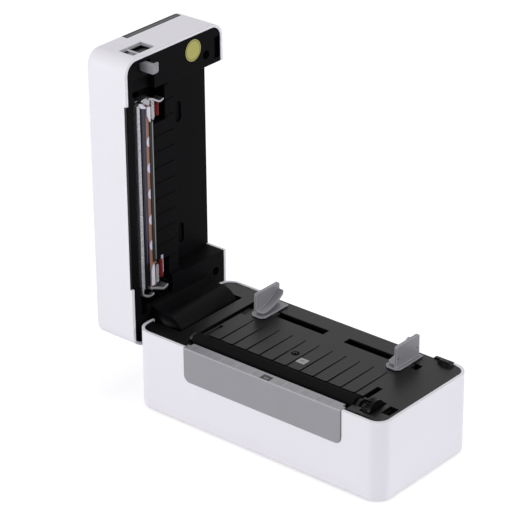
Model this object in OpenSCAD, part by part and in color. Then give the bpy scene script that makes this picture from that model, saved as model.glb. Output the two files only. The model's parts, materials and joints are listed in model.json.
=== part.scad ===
// Desktop label printer with a side-hinged lid, drawn with the lid open.
// Bench frame: x from the hinge end, y from the front face, z up from the underside.
// place() moves that frame to the middle of the base's underside; the lid's pieces are drawn closed and
// lid_pose() swings them open about the hinge axis.

/* [Base] */
// Length of the base, from the hinge end to the latch end
base_l = 210; // [205:1:230]
// Width of the base, from the front face to the paper inlet
base_w = 96; // [96:1:110]
// Height of the base up to its rim
base_h = 58.6; // [58:0.2:70]
// Wall of the outer housings
shell_wall = 2; // [1.8:0.1:2.4]
// Radius of the upright corners
corner_r = 10.6; // [10:0.2:13]
// Radius of the base's bottom edges
base_soft = 1.4; // [0.8:0.1:1.8]
// Thickness of the bottom cover
cover_t = 2; // [1.8:0.1:2.6]
// How far the rubber feet stand below the underside
foot_proud = 1.2; // [0.8:0.1:2]

/* [Lid] */
// Height of the lid from its rim to its roof
lid_h = 34.6; // [34:0.2:44]
// Radius of the lid's roof edges
lid_soft = 2; // [1:0.2:3]
// Gap between the closed lid and the base
parting_gap = 1; // [0.8:0.1:1.2]
// Angle at which the open lid rests on its stop
lid_open = 90; // [60:1:90]
// Distance of the hinge axis from the hinge end
hinge_inset = 8.5; // [8.4:0.1:9]
// Depth of the hinge axis below the base's rim
hinge_drop = 9.1; // [9:0.1:9.6]
// Depth of the paper space in the lid
paper_space = 16.4; // [16.2:0.1:17]
// Height of the slot that the label comes out of, above the lid's rim
exit_lift = 1.7; // [1.4:0.1:2.4]

/* [Paper path] */
// Length of the base that the widest label leaves to the hinge and the drive
media_room = 92; // [91:1:98]
// Narrowest label that the guides take
media_min = 38; // [38:1:60]
// How far the label's path lies off the base's middle, towards the latch end
media_offset = 6.6; // [6.2:0.2:7.4]
// Height of the guides above the deck
guide_h = 16.8; // [12:0.2:16.8]
// How far the outer ribs lie inside the widest label
rib_edge = 1.5; // [1:0.5:10]
// Number of ribs under the label
rib_count = 11; // [5:1:11]

/* [Platen drive] */
// Radius of the rubber roller
platen_r = 5.5; // [5:0.1:5.7]
// Distance of the roller's axis from the front face
platen_y = 16.6; // [16.4:0.1:17]
// Depth of the roller's axis below the rim
platen_drop = 2.8; // [2.8:0.1:3.4]
// Gear module of the drive and of the guides' racks
gear_m = 0.8; // [0.7:0.02:0.8]
// Teeth of the roller's gear
platen_teeth = 18; // [16:1:18]
// Teeth of the idler gear
idler_teeth = 42; // [38:1:42]
// Teeth of the motor's pinion
motor_teeth = 12; // [12:1:14]
// Teeth of the pinion between the guides' racks
guide_teeth = 20; // [18:1:20]

/* [Fits] */
// Gap between pieces that lie beside each other
seat_gap = 0.2; // [0.15:0.05:0.3]
// Gap round a piece that slides in a slot
slide_gap = 0.4; // [0.3:0.05:0.5]
// Radial clearance of a turning shaft
run_gap = 0.05; // [0.03:0.01:0.08]
// Radial clearance of a fixed pin or screw
pin_gap = 0.03; // [0.02:0.01:0.05]
// Play between meshing teeth, along the pitch line
backlash = 0.16; // [0.12:0.02:0.24]
// Travel of the feed button
button_travel = 1; // [0.6:0.1:1.4]
// Travel of the lid's latch
latch_travel = 1.6; // [1.4:0.1:1.6]
// Travel of the sprung print head
head_travel = 1.5; // [1:0.1:1.8]

/* [Hidden] */

$fn = 64;
// Sides of the round parts of a hull
hull_fn = 32;
// Overrun of every cut past the face that it leaves
over = 0.5;

// Label that the guides take at their widest, and where its middle lies
media_max = base_l - media_room;
media_mid = base_l / 2 + media_offset;
rib_pitch = (media_max - 2 * rib_edge) / max(1, rib_count - 1);

// Heights that the base is built on
deck_drop = 0.4;
deck_t = 2;
deck_top = base_h - deck_drop;
deck_under = deck_top - deck_t;
ledge_w = 1.6;
ledge_t = 2;
part_z = base_h + parting_gap;
hinge_x = hinge_inset;
hinge_z = base_h - hinge_drop;
inner_r = corner_r - shell_wall;

// Corner bosses of the housing and their screws
boss_inset = 6.6;
boss_r = 3.4;
boss_h = 22;
screw_r = 1.3;
screw_head_r = 2.8;
screw_head_t = 1;
screw_l = 10;

// Feet
foot_r = 7;
foot_sink = 0.8;
foot_x_inset = 26;
foot_y_inset = 17;

// Label exit and tear plate
tear_x = 44;
path_inset = 32.4;
tear_l = base_l - tear_x - path_inset;
tear_h = 25.2;
tear_r = 5;
tear_t = 2;
tear_proud = 0.8;
tear_rise = 0.2;
tear_lip = 7.6;
tear_lip_t = 1.8;
tear_step_l = 2;
tear_step = 3;
tear_ease = 0.6;
tick_pitch = 10.6;
tick_gap = 2.2;
tick_w = 0.4;
tick_depth = 0.15;
tick_from = 5.5;
tick_count = floor(tear_l / tick_pitch);

// Paper inlet at the back
seam_x = 39.6;
deck_seam = 0.3;
inlet_x = seam_x + deck_seam - seat_gap;
inlet_inset = 28;
inlet_end = base_l - inlet_inset;
inlet_r = 10.2;

// Hinge: knuckle, barrel, ears and pins
knuckle_r = 8;
barrel_y = 19;
barrel_behind = 19.8;
barrel_l = base_w - barrel_y - barrel_behind;
barrel_r = 14.3;
barrel_off_s = 1.5;
barrel_off_n = 3.4;
barrel_low = 2;
barrel_skin = 2.4;
barrel_cap = 2.4;
barrel_flare = 2.3;
neck_back = 6;
hub_r = 5;
hub_l = 3.4;
pin_r = 2;
pin_l = 15;
ear_t = 3.6;
ear_r = 5.4;
notch_y = 17.6;
notch_behind = 17;
notch_end = base_w - notch_behind;
surround_end = 37.2;
tongue_end = 11.4;
surround_open = 27;
surround_y = 15.2;
surround_behind = 16.2;
surround_y_end = base_w - surround_behind;
swing_gap = 0.35;
well_wall = 1.2;
well_room = 1.4;
swing_r = norm([hinge_x, hinge_drop]) + swing_gap;

// Deck
deck_x = 41.2;
channel_behind = 15;
channel_back = base_w - channel_behind;
channel_lip = 1.4;
notch_lip_short = 1.4;
recess_x = 44.6;
recess_y = 40;
strip_inset = 24;
strip_x = base_l - strip_inset;
strip_l = 13.5;
strip_h = 0.25;
well_y = 6.4;
slot_behind = 23;
slot_y = base_w - slot_behind;
slot_w = 7;
slot_web = 17.4;
slot_past = 11.2;
guide_notch_x = 47;
guide_notch_behind = 34.6;
guide_notch_y = base_w - guide_notch_behind;
well_front = 24;
plate_ease = 0.6;
well_ease = 0.8;
gear_well_inset = 23.6;
gear_well_x = base_l - gear_well_inset;
gear_well_l = 8.4;
gear_well_y = 7.6;
gear_well_w = 18.4;
side_slot_inset = 33.6;
side_slot_x = base_l - side_slot_inset;
side_slot_w = 4.6;
side_slot_end = 39.6;
latch_inset = 11.4;
latch_x = base_l - latch_inset;
latch_y = 14.2;
latch_hole_l = 7;
latch_hole_w = 10.4;
rib_w = 1.1;
rib_h = 0.3;
groove_w = 1.1;
groove_depth = 0.8;
rib_behind = 36.4;
rib_l = base_w - well_front - rib_behind;
rib_point = 5;
tab_inset = 23;
tab_x = base_l - tab_inset;
tab_l = 11.4;
tab_behind = 6;
tab_y = base_w - tab_behind;
tab_w = 2.8;
tab_h = 3;
tab_slope = 2.6;

// Sensor
window_off = 1.4;
window_x = media_mid + window_off;
window_y = 32.2;
window_l = 7.6;
window_w = 6.8;
window_t = 1.2;
eye_off = 5.7;
eye_x = media_mid - eye_off;
eye_y = 41.3;
eye_r = 1.4;
eye_l = 5.4;

// Platen and its drive
platen_z = base_h - platen_drop;
platen_x = 41.2;
platen_l = base_l - platen_x - path_inset;
shaft_r = 3;
journal_r = 2.5;
journal_x = 37.4;
gear_cap = 0.8;
bush_r = 3.5;
bush_flange_r = 4.3;
bush_flange_t = 0.8;
bush_ring = 0.9;
frame_t = 2;
frame_left_x = 37.6;
frame_inset = 30.2;
frame_right_x = base_l - frame_inset;
frame_foot_l = 14;
frame_foot_t = 2;
gear_inset = 22.6;
gear_x = base_l - gear_inset;
gear_t = 4.2;
gear_flange_t = 2;
gear_flange_over = 0.15;
journal_end = gear_x + gear_t + gear_flange_t - gear_cap - seat_gap;
idler_t = 3.4;
idler_angle = 63;
motor_angle = 12;
mesh_gap = 0.1;
platen_pitch_r = gear_m * platen_teeth / 2;
idler_pitch_r = gear_m * idler_teeth / 2;
motor_pitch_r = gear_m * motor_teeth / 2;
idler_reach = platen_pitch_r + idler_pitch_r + mesh_gap;
motor_reach = idler_pitch_r + motor_pitch_r + mesh_gap;
idler_y = platen_y + idler_reach * cos(idler_angle);
idler_z = platen_z - idler_reach * sin(idler_angle);
motor_y = idler_y + motor_reach * cos(motor_angle);
motor_z = idler_z - motor_reach * sin(motor_angle);
stud_r = 2.5;
stud_head_r = 4;
stud_head_t = 1;
motor_size = 35;
motor_l = 32;
motor_cut = 3.2;
motor_pilot_r = 11;
motor_pilot_t = 1.6;
motor_pitch = 26;
motor_shaft_r = 2.2;

// Guides, racks and pinion
guide_travel = (media_max - media_min) / 2;
guide_t = 2;
guide_behind = 31.2;
guide_y = base_w - guide_behind;
guide_l = 24.6;
guide_ease = 1.4;
guide_lift = 0.5;
flange_behind = 33;
flange_y = base_w - flange_behind;
flange_l = 27;
flange_t = 1;
flange_in = 7.2;
flange_out = 4.6;
flange_cut = 2.4;
leg_past = 1.4;
leg_l = 9.6;
lip_reach = 6;
lip_t = 1.2;
lip_low = 3;
lip_rise = 9;
lip_run = 22.6;
lip_steps = 12;
lip_lean = 0.6;
lip_round = 2.4;
dot_r = 0.5;
dot_depth = 0.6;
dot_shares = [0.18, 0.9];
dot_z_share = 0.44;
rack_drop = 1.8;
rack_t = 3;
rack_body = 4;
guide_pitch_r = gear_m * guide_teeth / 2;
pinion_off = 1.2;
pinion_x = media_mid + pinion_off;
pinion_y = slot_y + slot_w / 2;
pinion_hub_r = 2.5;
tray_t = 1.6;
tray_x = 41.8;
tray_inset = 30.8;
tray_end = base_l - tray_inset;
tray_wall = 1.6;

// Board, sockets and switch
board_x = 52;
board_inset = 66;
board_l = base_l - board_x - board_inset;
board_behind = 48;
board_y = base_w - board_behind;
board_t = 1.6;
post_r = 3;
post_h = 6;
post_inset = 5;
inlet_w = 9;
inlet_h = 11;
inlet_d = 14;
jack_x = 60;
jack_bore_r = 2.9;
jack_pin_r = 1;
socket_x = 86;
socket_w = 12;
socket_h = 11;
socket_d = 16;
socket_skin = 0.8;
switch_inset = 50;
switch_x = base_l - switch_inset;
switch_z = 14;
switch_w = 19;
switch_h = 13;
switch_d = 12.5;
switch_skin = 1.2;
switch_tilt = 7;
switch_pivot_r = 1.2;
switch_bezel = 1.2;

// Lid
liner_gap = 0.2;
liner_face = 0.3;
liner_t = 2;
liner_depth = paper_space + liner_t;
block_hinge = 39;
block_latch = inlet_end;
panel_behind = 46;
panel_back = base_w - panel_behind;
panel_face = 3;
panel_x = 42;
bay_y = 8.6;
bay_back = 28.6;
bay_x = 28;
bay_inset = 26.6;
bay_end = base_l - bay_inset;
bay_wing_l = 27;
bay_depth = 23;
gear_pocket = 5.6;
pocket_skin = 0.6;
lip_back = 0.1;
lid_screw_shares = [[0.12, 0.121], [0.125, 0.889], [0.907, 0.829]];
lid_screw_r = 3.2;
lid_screw_floor = 6;
oval_r = 3;
oval_l = 15;
oval_behind = 28;
oval_y = base_w - oval_behind;
oval_depth = 1.5;
oval_shares = [0.276, 0.709];
lid_rib_h = 0.5;
lid_rib_w = 1.2;
lid_rib_ease = 1;
window_end_y = 12.7;
window_end_w = 21.2;
window_end_h = 12.8;
window_end_z = 4.3;
window_bevel = 2.2;
sticker_inset = 12.2;
sticker_x = base_l - sticker_inset;
sticker_behind = 29.4;
sticker_y = base_w - sticker_behind;
sticker_r = 7.6;
sticker_t = 0.15;
panel_top_l = 40;
panel_top_y = 33;
panel_top_behind = 9.5;
panel_top_w = base_w - panel_top_y - panel_top_behind;
panel_top_drop = 6.4;
panel_top_t = 1.2;
button_inset = 22;
button_x = base_l - button_inset;
button_behind = 36;
button_y = base_w - button_behind;
button_r = 6;
button_rise = 0.8;
button_stem_r = 2.5;
button_stem_l = 9;
button_seat_t = 2;
light_inset = 34;
light_x = base_l - light_inset;
light_r = 1.4;
light_l = 6;
boss_lid_r = 3.6;

// Latch
hook_inset = 10.8;
hook_x = base_l - hook_inset;
hook_w = 5.8;
hook_y = 16;
hook_t = 4.4;
hook_reach = 9.6;
hook_nose = 3.4;
hook_nose_t = 3.2;
hook_top = 11;
tab_lever_y = 14.6;
tab_lever_w = 2.4;
carrier_t = 2;
carrier_l = 14;
latch_spring_r = 2;
latch_spring_l = 12;
latch_room_end = hook_y + carrier_l + latch_spring_l + seat_gap;
latch_room_top = window_end_z + window_end_h + slide_gap;
catch_t = 0.5;
catch_lip = 2;
catch_gap = 0.4;

// Print head
head_x = 39.2;
head_inset = 34;
head_l = base_l - head_x - head_inset;
sink_y = 12.6;
sink_w = 14.6;
sink_low = 3.6;
sink_t = 7;
sink_lip_w = 3;
sink_lip = 0.8;
label_room = 0.2;
ceramic_low = platen_z + platen_r + label_room - part_z;
ceramic_w = 5.2;
head_board_w = 6.4;
head_board_t = 0.8;
head_cover_w = 3;
head_cover_low = 1.5;
bracket_t = 1.2;
bracket_w = 24;
wing_room = 3.8;
bay_wing = sink_y + bracket_w + wing_room;
bracket_ear = 12;
bracket_ear_w = 6;
connector_l = 14;
connector_w = 3.4;
contact_w = 2.6;
contact_ribs = 9;
lead_l = 13;
lead_w = 3;
spring_r = 3;
spring_wire = 0.8;
spring_turns = 5;

module place() translate([-base_l / 2, -base_w / 2, 0]) children();

module lid_pose() place() translate([hinge_x, 0, hinge_z]) rotate([0, -lid_open, 0])
  translate([-hinge_x, 0, -hinge_z]) children();

// Lid frame: z from the lid's rim plane, closed
module lid_frame() lid_pose() translate([0, 0, part_z]) children();

// Rectangle with round corners and true arcs, corner at the origin
module round_rect(l, w, r) {
  translate([r, 0]) square([l - 2 * r, w]);
  translate([0, r]) square([l, w - 2 * r]);
  for (x = [r, l - r], y = [r, w - r]) translate([x, y]) circle(r);
}

// Block with round upright corners and one soft rim at the bottom
module soft_block(l, w, h, r, soft) hull() for (x = [r, l - r], y = [r, w - r]) translate([x, y, 0]) {
  translate([0, 0, soft]) cylinder(r = r, h = h - soft, $fn = 2 * hull_fn);
  rotate_extrude($fn = 2 * hull_fn) {
    square([r - soft, soft]);
    intersection() {
      translate([r - soft, soft]) circle(soft, $fn = hull_fn);
      square([r, soft]);
    }
  }
}

// Plan outline inside the housing's wall, drawn in by a gap
module inside_plan(gap) translate([shell_wall + gap, shell_wall + gap])
  round_rect(base_l - 2 * (shell_wall + gap), base_w - 2 * (shell_wall + gap), inner_r - gap);

// Slot with round ends, along x about its centre
module oval(l, r) {
  translate([r - l / 2, -r]) square([l - 2 * r, 2 * r]);
  for (x = [r - l / 2, l / 2 - r]) translate([x, 0]) circle(r);
}

// Box from one corner to the other
module span(a, b) translate(a) cube(b - a);

// Cylinders along x and y, from a point
module rod_x(p, r, l) translate(p) rotate([0, 90, 0]) cylinder(r = r, h = l);
module rod_y(p, r, l) translate(p) rotate([-90, 0, 0]) cylinder(r = r, h = l);

// Involute gear: points on one flank, from the root to the tip
pressure = 20;
addendum_share = 0.95;
dedendum_share = 1.2;
flank_steps = 4;
function inv(a) = tan(a) * 180 / PI - a;
function flank_angle(r, rb) = r <= rb ? 0 : inv(acos(rb / r));
function gear_points(teeth, m, play) =
  let (rp = m * teeth / 2, rb = rp * cos(pressure), rt = rp + m * addendum_share,
    rr = rp - m * dedendum_share, half = 90 / teeth - play / 4 / rp * 180 / PI + inv(pressure),
    low = max(rb, rr))
  [for (t = [0:teeth - 1]) let (mid = 360 * t / teeth) each concat(
    [[rr, mid - half]],
    [for (i = [0:flank_steps]) let (r = low + (rt - low) * i / flank_steps) [r, mid - half + flank_angle(r, rb)]],
    [for (i = [flank_steps:-1:0]) let (r = low + (rt - low) * i / flank_steps) [r, mid + half - flank_angle(r, rb)]],
    [[rr, mid + half]])];

module gear(teeth, m, t, play) linear_extrude(t)
  polygon([for (p = gear_points(teeth, m, play)) p[0] * [cos(p[1]), sin(p[1])]]);

// Straight rack along x with its pitch line on y = 0 and its teeth towards +y
module rack(from, count, body, t, play) {
  pitch = PI * gear_m;
  top = gear_m * addendum_share;
  low = gear_m * dedendum_share;
  half_pitch_w = pitch / 4 - play / 4;
  half_top = half_pitch_w - top * tan(pressure);
  half_low = half_pitch_w + low * tan(pressure);
  linear_extrude(t) {
    translate([from - pitch / 2, -low - body]) square([count * pitch, body]);
    for (i = [0:count - 1]) translate([from + i * pitch, 0])
      polygon([[-half_low, -low], [half_low, -low], [half_top, top], [-half_top, top]]);
  }
}

// Coil spring along z as one tube; the sweep keeps 6 sides and 8 rings a turn
coil_sides = 6;
coil_rings = 8;
function coil_point(r, pitch, a) = [r * cos(a), r * sin(a), pitch * a / 360];
module coil(r, wire, turns, l) {
  pitch = (l - wire) / turns;
  n = turns * coil_rings;
  tilt = atan2(pitch, 2 * PI * r);
  pts = [for (i = [0:n]) let (a = 360 * i / coil_rings, c = coil_point(r, pitch, a) + [0, 0, wire / 2])
    for (k = [0:coil_sides - 1]) let (b = 360 * k / coil_sides)
      c + wire / 2 * (cos(b) * [cos(a), sin(a), 0]
        + sin(b) * [sin(a) * sin(tilt), -cos(a) * sin(tilt), cos(tilt)])];
  quad = [for (i = [0:n - 1], k = [0:coil_sides - 1]) let (a = i * coil_sides + k,
    b = i * coil_sides + (k + 1) % coil_sides, c = a + coil_sides, d = b + coil_sides)
    each [[a, c, b], [b, c, d]]];
  last = n * coil_sides;
  ends = concat([for (k = [1:coil_sides - 2]) [0, k, k + 1]],
    [for (k = [1:coil_sides - 2]) [last, last + k + 1, last + k]]);
  polyhedron(pts, concat(quad, ends));
}
function coil_gap(wire, turns, l) = (l - wire) / turns - wire;

// Base housing
module base_shell() color("white") place() difference() {
  soft_block(base_l, base_w, base_h, corner_r, base_soft);
  difference() {
    translate([0, 0, -over]) linear_extrude(base_h + 2 * over) inside_plan(0);
    shelf();
    for (x = [boss_inset, base_l - boss_inset], y = [boss_inset, base_w - boss_inset])
      translate([x, y, cover_t]) cylinder(r = boss_r, h = boss_h);
  }
  for (x = [boss_inset, base_l - boss_inset], y = [boss_inset, base_w - boss_inset])
    translate([x, y, cover_t - over]) cylinder(r = screw_r + pin_gap, h = screw_l + over);
  tear_cut();
  hinge_cut();
  inlet_cut(0);
  socket_cuts();
}

// Ledge under the deck's edge, on the long walls and the latch end
module shelf() difference() {
  translate([0, 0, deck_under - ledge_t]) linear_extrude(ledge_t) inside_plan(-over);
  translate([0, 0, deck_under - ledge_t - over]) linear_extrude(ledge_t + 2 * over) inside_plan(ledge_w);
}

// Opening for the tear plate in the front wall
module tear_cut() translate([tear_x - seat_gap, tear_lip + seat_gap, base_h - tear_h - seat_gap])
  rotate([90, 0, 0]) linear_extrude(tear_lip + tear_proud + over) tear_outline(seat_gap, over);

module tear_outline(gap, up) {
  l = tear_l + 2 * gap;
  r = tear_r + gap;
  translate([r, 0]) square([l - 2 * r, r]);
  translate([0, r]) square([l, tear_h + gap - r + up]);
  for (x = [r, l - r]) translate([x, r]) circle(r);
}

// Opening for the lid's knuckle in the hinge-end wall
module hinge_cut() {
  span([-over, notch_y, hinge_z - knuckle_r - slide_gap], [shell_wall + ledge_w + over, notch_end, base_h + over]);
  span([shell_wall, surround_y - ear_t - slide_gap, deck_under - ledge_t - over],
    [shell_wall + ledge_w + over, surround_y_end + ear_t + slide_gap, base_h + over]);
}

// Paper inlet: the back wall drops and the deck rolls over it
module inlet_cut(gap) span([inlet_x - gap, base_w - shell_wall - ledge_w - over, base_h - deck_drop - inlet_r],
  [inlet_end + gap, base_w + over, base_h + over]);

board_z = cover_t + post_h;
sockets_z = board_z + board_t;
module socket_cuts() {
  span([jack_x - seat_gap, base_w - shell_wall - over, sockets_z - seat_gap],
    [jack_x + inlet_w + seat_gap, base_w + over, sockets_z + inlet_h + seat_gap]);
  span([socket_x - seat_gap, base_w - shell_wall - over, sockets_z - seat_gap],
    [socket_x + socket_w + seat_gap, base_w + over, sockets_z + socket_h + seat_gap]);
  span([switch_x - seat_gap, base_w - shell_wall - over, switch_z - seat_gap],
    [switch_x + switch_w + seat_gap, base_w + over, switch_z + switch_h + seat_gap]);
}

foot_places = [for (x = [foot_x_inset, base_l - foot_x_inset], y = [foot_y_inset, base_w - foot_y_inset]) [x, y]];
boss_places = [for (x = [boss_inset, base_l - boss_inset], y = [boss_inset, base_w - boss_inset]) [x, y]];
post_places = [for (x = [board_x + post_inset, board_x + board_l - post_inset],
  y = [board_y + post_inset, base_w - shell_wall - seat_gap - post_inset]) [x, y]];
vent_count = 9;
vent_pitch = 5;
vent_w = 2.4;
vent_l = 26;
vent_off = 7;
vent_x = base_l / 2 + vent_off;
vent_y = 22;

module bottom_cover() color("#26262a") place() difference() {
  union() {
    linear_extrude(cover_t) inside_plan(seat_gap);
    for (p = post_places) translate([p[0], p[1], 0]) cylinder(r = post_r, h = board_z);
  }
  for (p = foot_places) translate([p[0], p[1], -over]) cylinder(r = foot_r + seat_gap, h = foot_sink + over);
  for (p = boss_places) translate([p[0], p[1], 0]) {
    translate([0, 0, -over]) cylinder(r = screw_r + seat_gap, h = cover_t + 2 * over);
    translate([0, 0, -over]) cylinder(r = screw_head_r + seat_gap, h = screw_head_t + over);
  }
  for (p = frame_screw_places) translate([p[0], p[1], 0]) {
    translate([0, 0, -over]) cylinder(r = screw_r + pin_gap, h = cover_t + 2 * over);
    translate([0, 0, -over]) cylinder(r = screw_head_r + seat_gap, h = screw_head_t + over);
  }
  for (i = [0:vent_count - 1]) translate([vent_x + i * vent_pitch, vent_y, -over]) linear_extrude(cover_t + 2 * over) {
    translate([-vent_w / 2, 0]) square([vent_w, vent_l]);
    for (y = [0, vent_l]) translate([0, y]) circle(vent_w / 2);
  }
}

module rubber_feet() color("#1a1a1c") place() for (p = foot_places) translate([p[0], p[1], -foot_proud])
  cylinder(r = foot_r, h = foot_proud + foot_sink);

module screw(l) {
  cylinder(r = screw_head_r, h = screw_head_t);
  cylinder(r = screw_r, h = l);
}

module cover_screws() color("#9a9aa0") place() for (p = boss_places) translate([p[0], p[1], 0]) screw(screw_l);

// Top cover round the hinge barrel, with the ears that hold the pins
module hinge_surround() color("#3a3a3d") place() difference() {
  union() {
    intersection() {
      translate([0, 0, deck_under]) linear_extrude(deck_t) inside_plan(seat_gap);
      union() {
        span([0, 0, deck_under], [surround_end, base_w, deck_top]);
        span([0, channel_back, deck_under], [seam_x, base_w, deck_top]);
        span([0, 0, deck_under], [tear_x - 2 * seat_gap, tear_lip + seat_gap, deck_top]);
        span([0, 0, deck_under], [frame_left_x + frame_t, tongue_end, deck_top]);
      }
    }
    for (y = [surround_y - ear_t, surround_y_end]) ear(y);
    hinge_well();
  }
  span([-over, surround_y, deck_under - over], [surround_open, surround_y_end, deck_top + over]);
  rod_y([hinge_x, 0, hinge_z], pin_r + pin_gap, base_w);
}

// Well that the barrel turns in
module hinge_well() {
  low = hinge_z - norm([barrel_off_s, barrel_off_n]) - barrel_r - well_room;
  span([surround_open, surround_y - well_wall, low], [surround_open + well_wall, surround_y_end + well_wall, deck_under + over]);
  span([shell_wall + seat_gap, surround_y - well_wall, low - well_wall],
    [surround_open + well_wall, surround_y_end + well_wall, low]);
  for (y = [surround_y - well_wall, surround_y_end])
    span([hinge_x + ear_r - well_wall, y, low - over], [surround_open + over, y + well_wall, deck_under + over]);
}

module ear(y) {
  rod_y([hinge_x, y, hinge_z], ear_r, ear_t);
  span([hinge_x - ear_r, y, hinge_z], [hinge_x + ear_r, y + ear_t, deck_under + over]);
}

module hinge_pins() color("silver") place() for (y = [surround_y - ear_t, surround_y_end + ear_t - pin_l])
  rod_y([hinge_x, y, hinge_z], pin_r, pin_l);

// Main deck with the ribbed paper path
slot_left = [media_mid - media_max / 2 - guide_t - flange_out - slot_past / 4, pinion_x - slot_web / 2];
slot_right = [pinion_x + slot_web / 2, media_mid + media_max / 2 + guide_t + flange_out + slot_past / 2];

module deck() color("#3a3a3d") place() {
  difference() {
    union() {
      difference() {
        translate([0, 0, deck_under]) linear_extrude(deck_t) inside_plan(seat_gap);
        span([-over, 0, deck_under - over], [deck_x, channel_back, deck_top + over]);
        span([-over, channel_back - over, deck_under - over], [seam_x + deck_seam, base_w, deck_top + over]);
        tear_gap();
      }
      span([frame_left_x + frame_t + seat_gap, well_front, deck_under - channel_lip],
        [deck_x + over, guide_notch_y, deck_under + over / 2]);
      span([frame_left_x + frame_t + seat_gap, well_front, deck_under - channel_lip],
        [recess_x + over, recess_y, deck_under - over]);
      span([frame_left_x + frame_t + seat_gap, guide_notch_y - over, deck_under - channel_lip],
        [guide_notch_x - notch_lip_short, channel_back, deck_under - over]);
      span([recess_x, well_front, deck_under - channel_lip], [recess_x + over, recess_y, deck_under + over]);
      span([strip_x, shell_wall + ledge_w, deck_top - over], [strip_x + strip_l, well_y, deck_top + strip_h]);
      inlet_roll();
      span([pinion_x - pinion_hub_r, pinion_y - pinion_hub_r, deck_under - over],
        [pinion_x + pinion_hub_r, pinion_y + pinion_hub_r, deck_under + over]);
      translate([pinion_x, pinion_y, tray_z]) cylinder(r = pinion_hub_r, h = deck_under - tray_z + over);
      deck_tab();
      for (i = [0:rib_count - 1]) path_rib(media_mid + (i - (rib_count - 1) / 2) * rib_pitch);
    }
    for (s = [slot_left, slot_right]) span([s[0], slot_y, deck_under - over],
      [s[1], slot_y + slot_w, deck_top + over]);
    span([deck_x - over, guide_notch_y, deck_under - over], [guide_notch_x, channel_back, deck_top + over]);
    span([deck_x - over, well_front - over, deck_under - over / 2], [recess_x, recess_y, deck_top + over]);
    for (i = [0:rib_count - 1]) rib_groove(media_mid + (i - (rib_count - 1) / 2) * rib_pitch);
    span([deck_x - over, 0, deck_under - over], [platen_x + platen_l + well_ease, well_front, deck_top + over]);
    span([platen_x + platen_l, platen_y - bush_flange_r - well_ease, deck_under - over],
      [gear_well_x + over, platen_y + bush_flange_r + well_ease, deck_top + over]);
    span([gear_well_x - over, gear_well_y, deck_under - over],
      [gear_well_x + gear_well_l, gear_well_y + gear_well_w, deck_top + over]);
    span([side_slot_x, well_front - over, deck_under - over],
      [side_slot_x + side_slot_w, side_slot_end, deck_top + over]);
    span([latch_x, latch_y, deck_under - over],
      [latch_x + latch_hole_l, latch_y + latch_hole_w, deck_top + over]);
    translate([window_x, window_y, deck_top - window_t]) cube([window_l, window_w, window_t + over]);
    translate([window_x + window_t, window_y + window_t, deck_under - over])
      cube([window_l - 2 * window_t, window_w - 2 * window_t, deck_t + 2 * over]);
    translate([eye_x, eye_y, deck_under - over]) linear_extrude(deck_t + 2 * over) oval(eye_l, eye_r);
  }
}

// Room for the tear plate's lip in the deck's front edge
module tear_gap() span([tear_x - seat_gap, 0, deck_under - over],
  [tear_x + tear_l + seat_gap, tear_lip + seat_gap, deck_top + over]);

// Rib under the label, drawn to a point at the inlet side
module path_rib(x) translate([x - rib_w / 2, well_front, deck_top - plate_ease]) linear_extrude(rib_h + plate_ease)
  polygon([[0, 0], [rib_w, 0], [rib_w, rib_l - rib_point], [rib_w / 2, rib_l], [0, rib_l - rib_point]]);

// Narrow groove beside each rib, wide at the platen
module rib_groove(x) translate([x + rib_w / 2, well_front - over, deck_top - groove_depth]) linear_extrude(groove_depth + over)
  polygon([[0, 0], [groove_w, 0], [groove_w / 4, rib_l], [0, rib_l]]);

// Rounded lip over the back wall
module inlet_roll() {
  y = base_w - inlet_r;
  difference() {
    rod_x([inlet_x + seat_gap, y, deck_top - inlet_r], inlet_r, inlet_end - inlet_x - 2 * seat_gap);
    rod_x([inlet_x, y, deck_top - inlet_r], inlet_r - deck_t, inlet_end - inlet_x);
    span([inlet_x, y - inlet_r - over, deck_top - 2 * inlet_r - over], [inlet_end, y, deck_top + over]);
    span([inlet_x, y - over, deck_top - 2 * inlet_r - over],
      [inlet_end, base_w + over, deck_top - inlet_r + seat_gap]);
  }
}

// Small stop beside the inlet
module deck_tab() translate([tab_x, tab_y + tab_w, deck_top - plate_ease]) rotate([90, 0, 0])
  linear_extrude(tab_w) polygon([[0, 0], [tab_l, 0], [tab_l, plate_ease + tab_h / 3],
    [tab_l - tab_slope, plate_ease + tab_h], [tab_slope, plate_ease + tab_h], [0, plate_ease + tab_h / 3]]);

// Tear plate: one profile along x, cut to the outline of its front face
tear_top = base_h + tear_rise;
module tear_plate() color("#97979c") place() difference() {
  intersection() {
    translate([tear_x, 0, 0]) rotate([90, 0, 90]) linear_extrude(tear_l) tear_profile();
    translate([tear_x, tear_lip + over, base_h - tear_h]) rotate([90, 0, 0])
      linear_extrude(tear_lip + tear_proud + 2 * over) tear_outline(0, over);
  }
  for (x = [tear_x, tear_x + tear_l - tear_step_l]) span([x - over, tear_lip - tear_step, tear_top - tear_lip_t - over],
    [x + tear_step_l, tear_lip + over, tear_top + over]);
  for (i = [0:tick_count - 1], j = [0, 1])
    translate([tear_x + tick_from + i * tick_pitch + j * tick_gap, tear_ease, tear_top - tick_depth])
      cube([tick_w, tear_lip / 2, tick_depth + over]);
}

module tear_profile() {
  low = base_h - tear_h;
  translate([-tear_proud, low]) square([tear_t, tear_h + tear_rise - tear_ease]);
  translate([-tear_proud + tear_ease, tear_top - tear_lip_t]) square([tear_lip + tear_proud - tear_ease, tear_lip_t]);
  translate([-tear_proud + tear_ease, tear_top - tear_ease]) circle(tear_ease);
}

module sensor_window() color("#c9c9ce") place() span([window_x + seat_gap, window_y + seat_gap, deck_top - window_t],
  [window_x + window_l - seat_gap, window_y + window_w - seat_gap, deck_top]);

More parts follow.
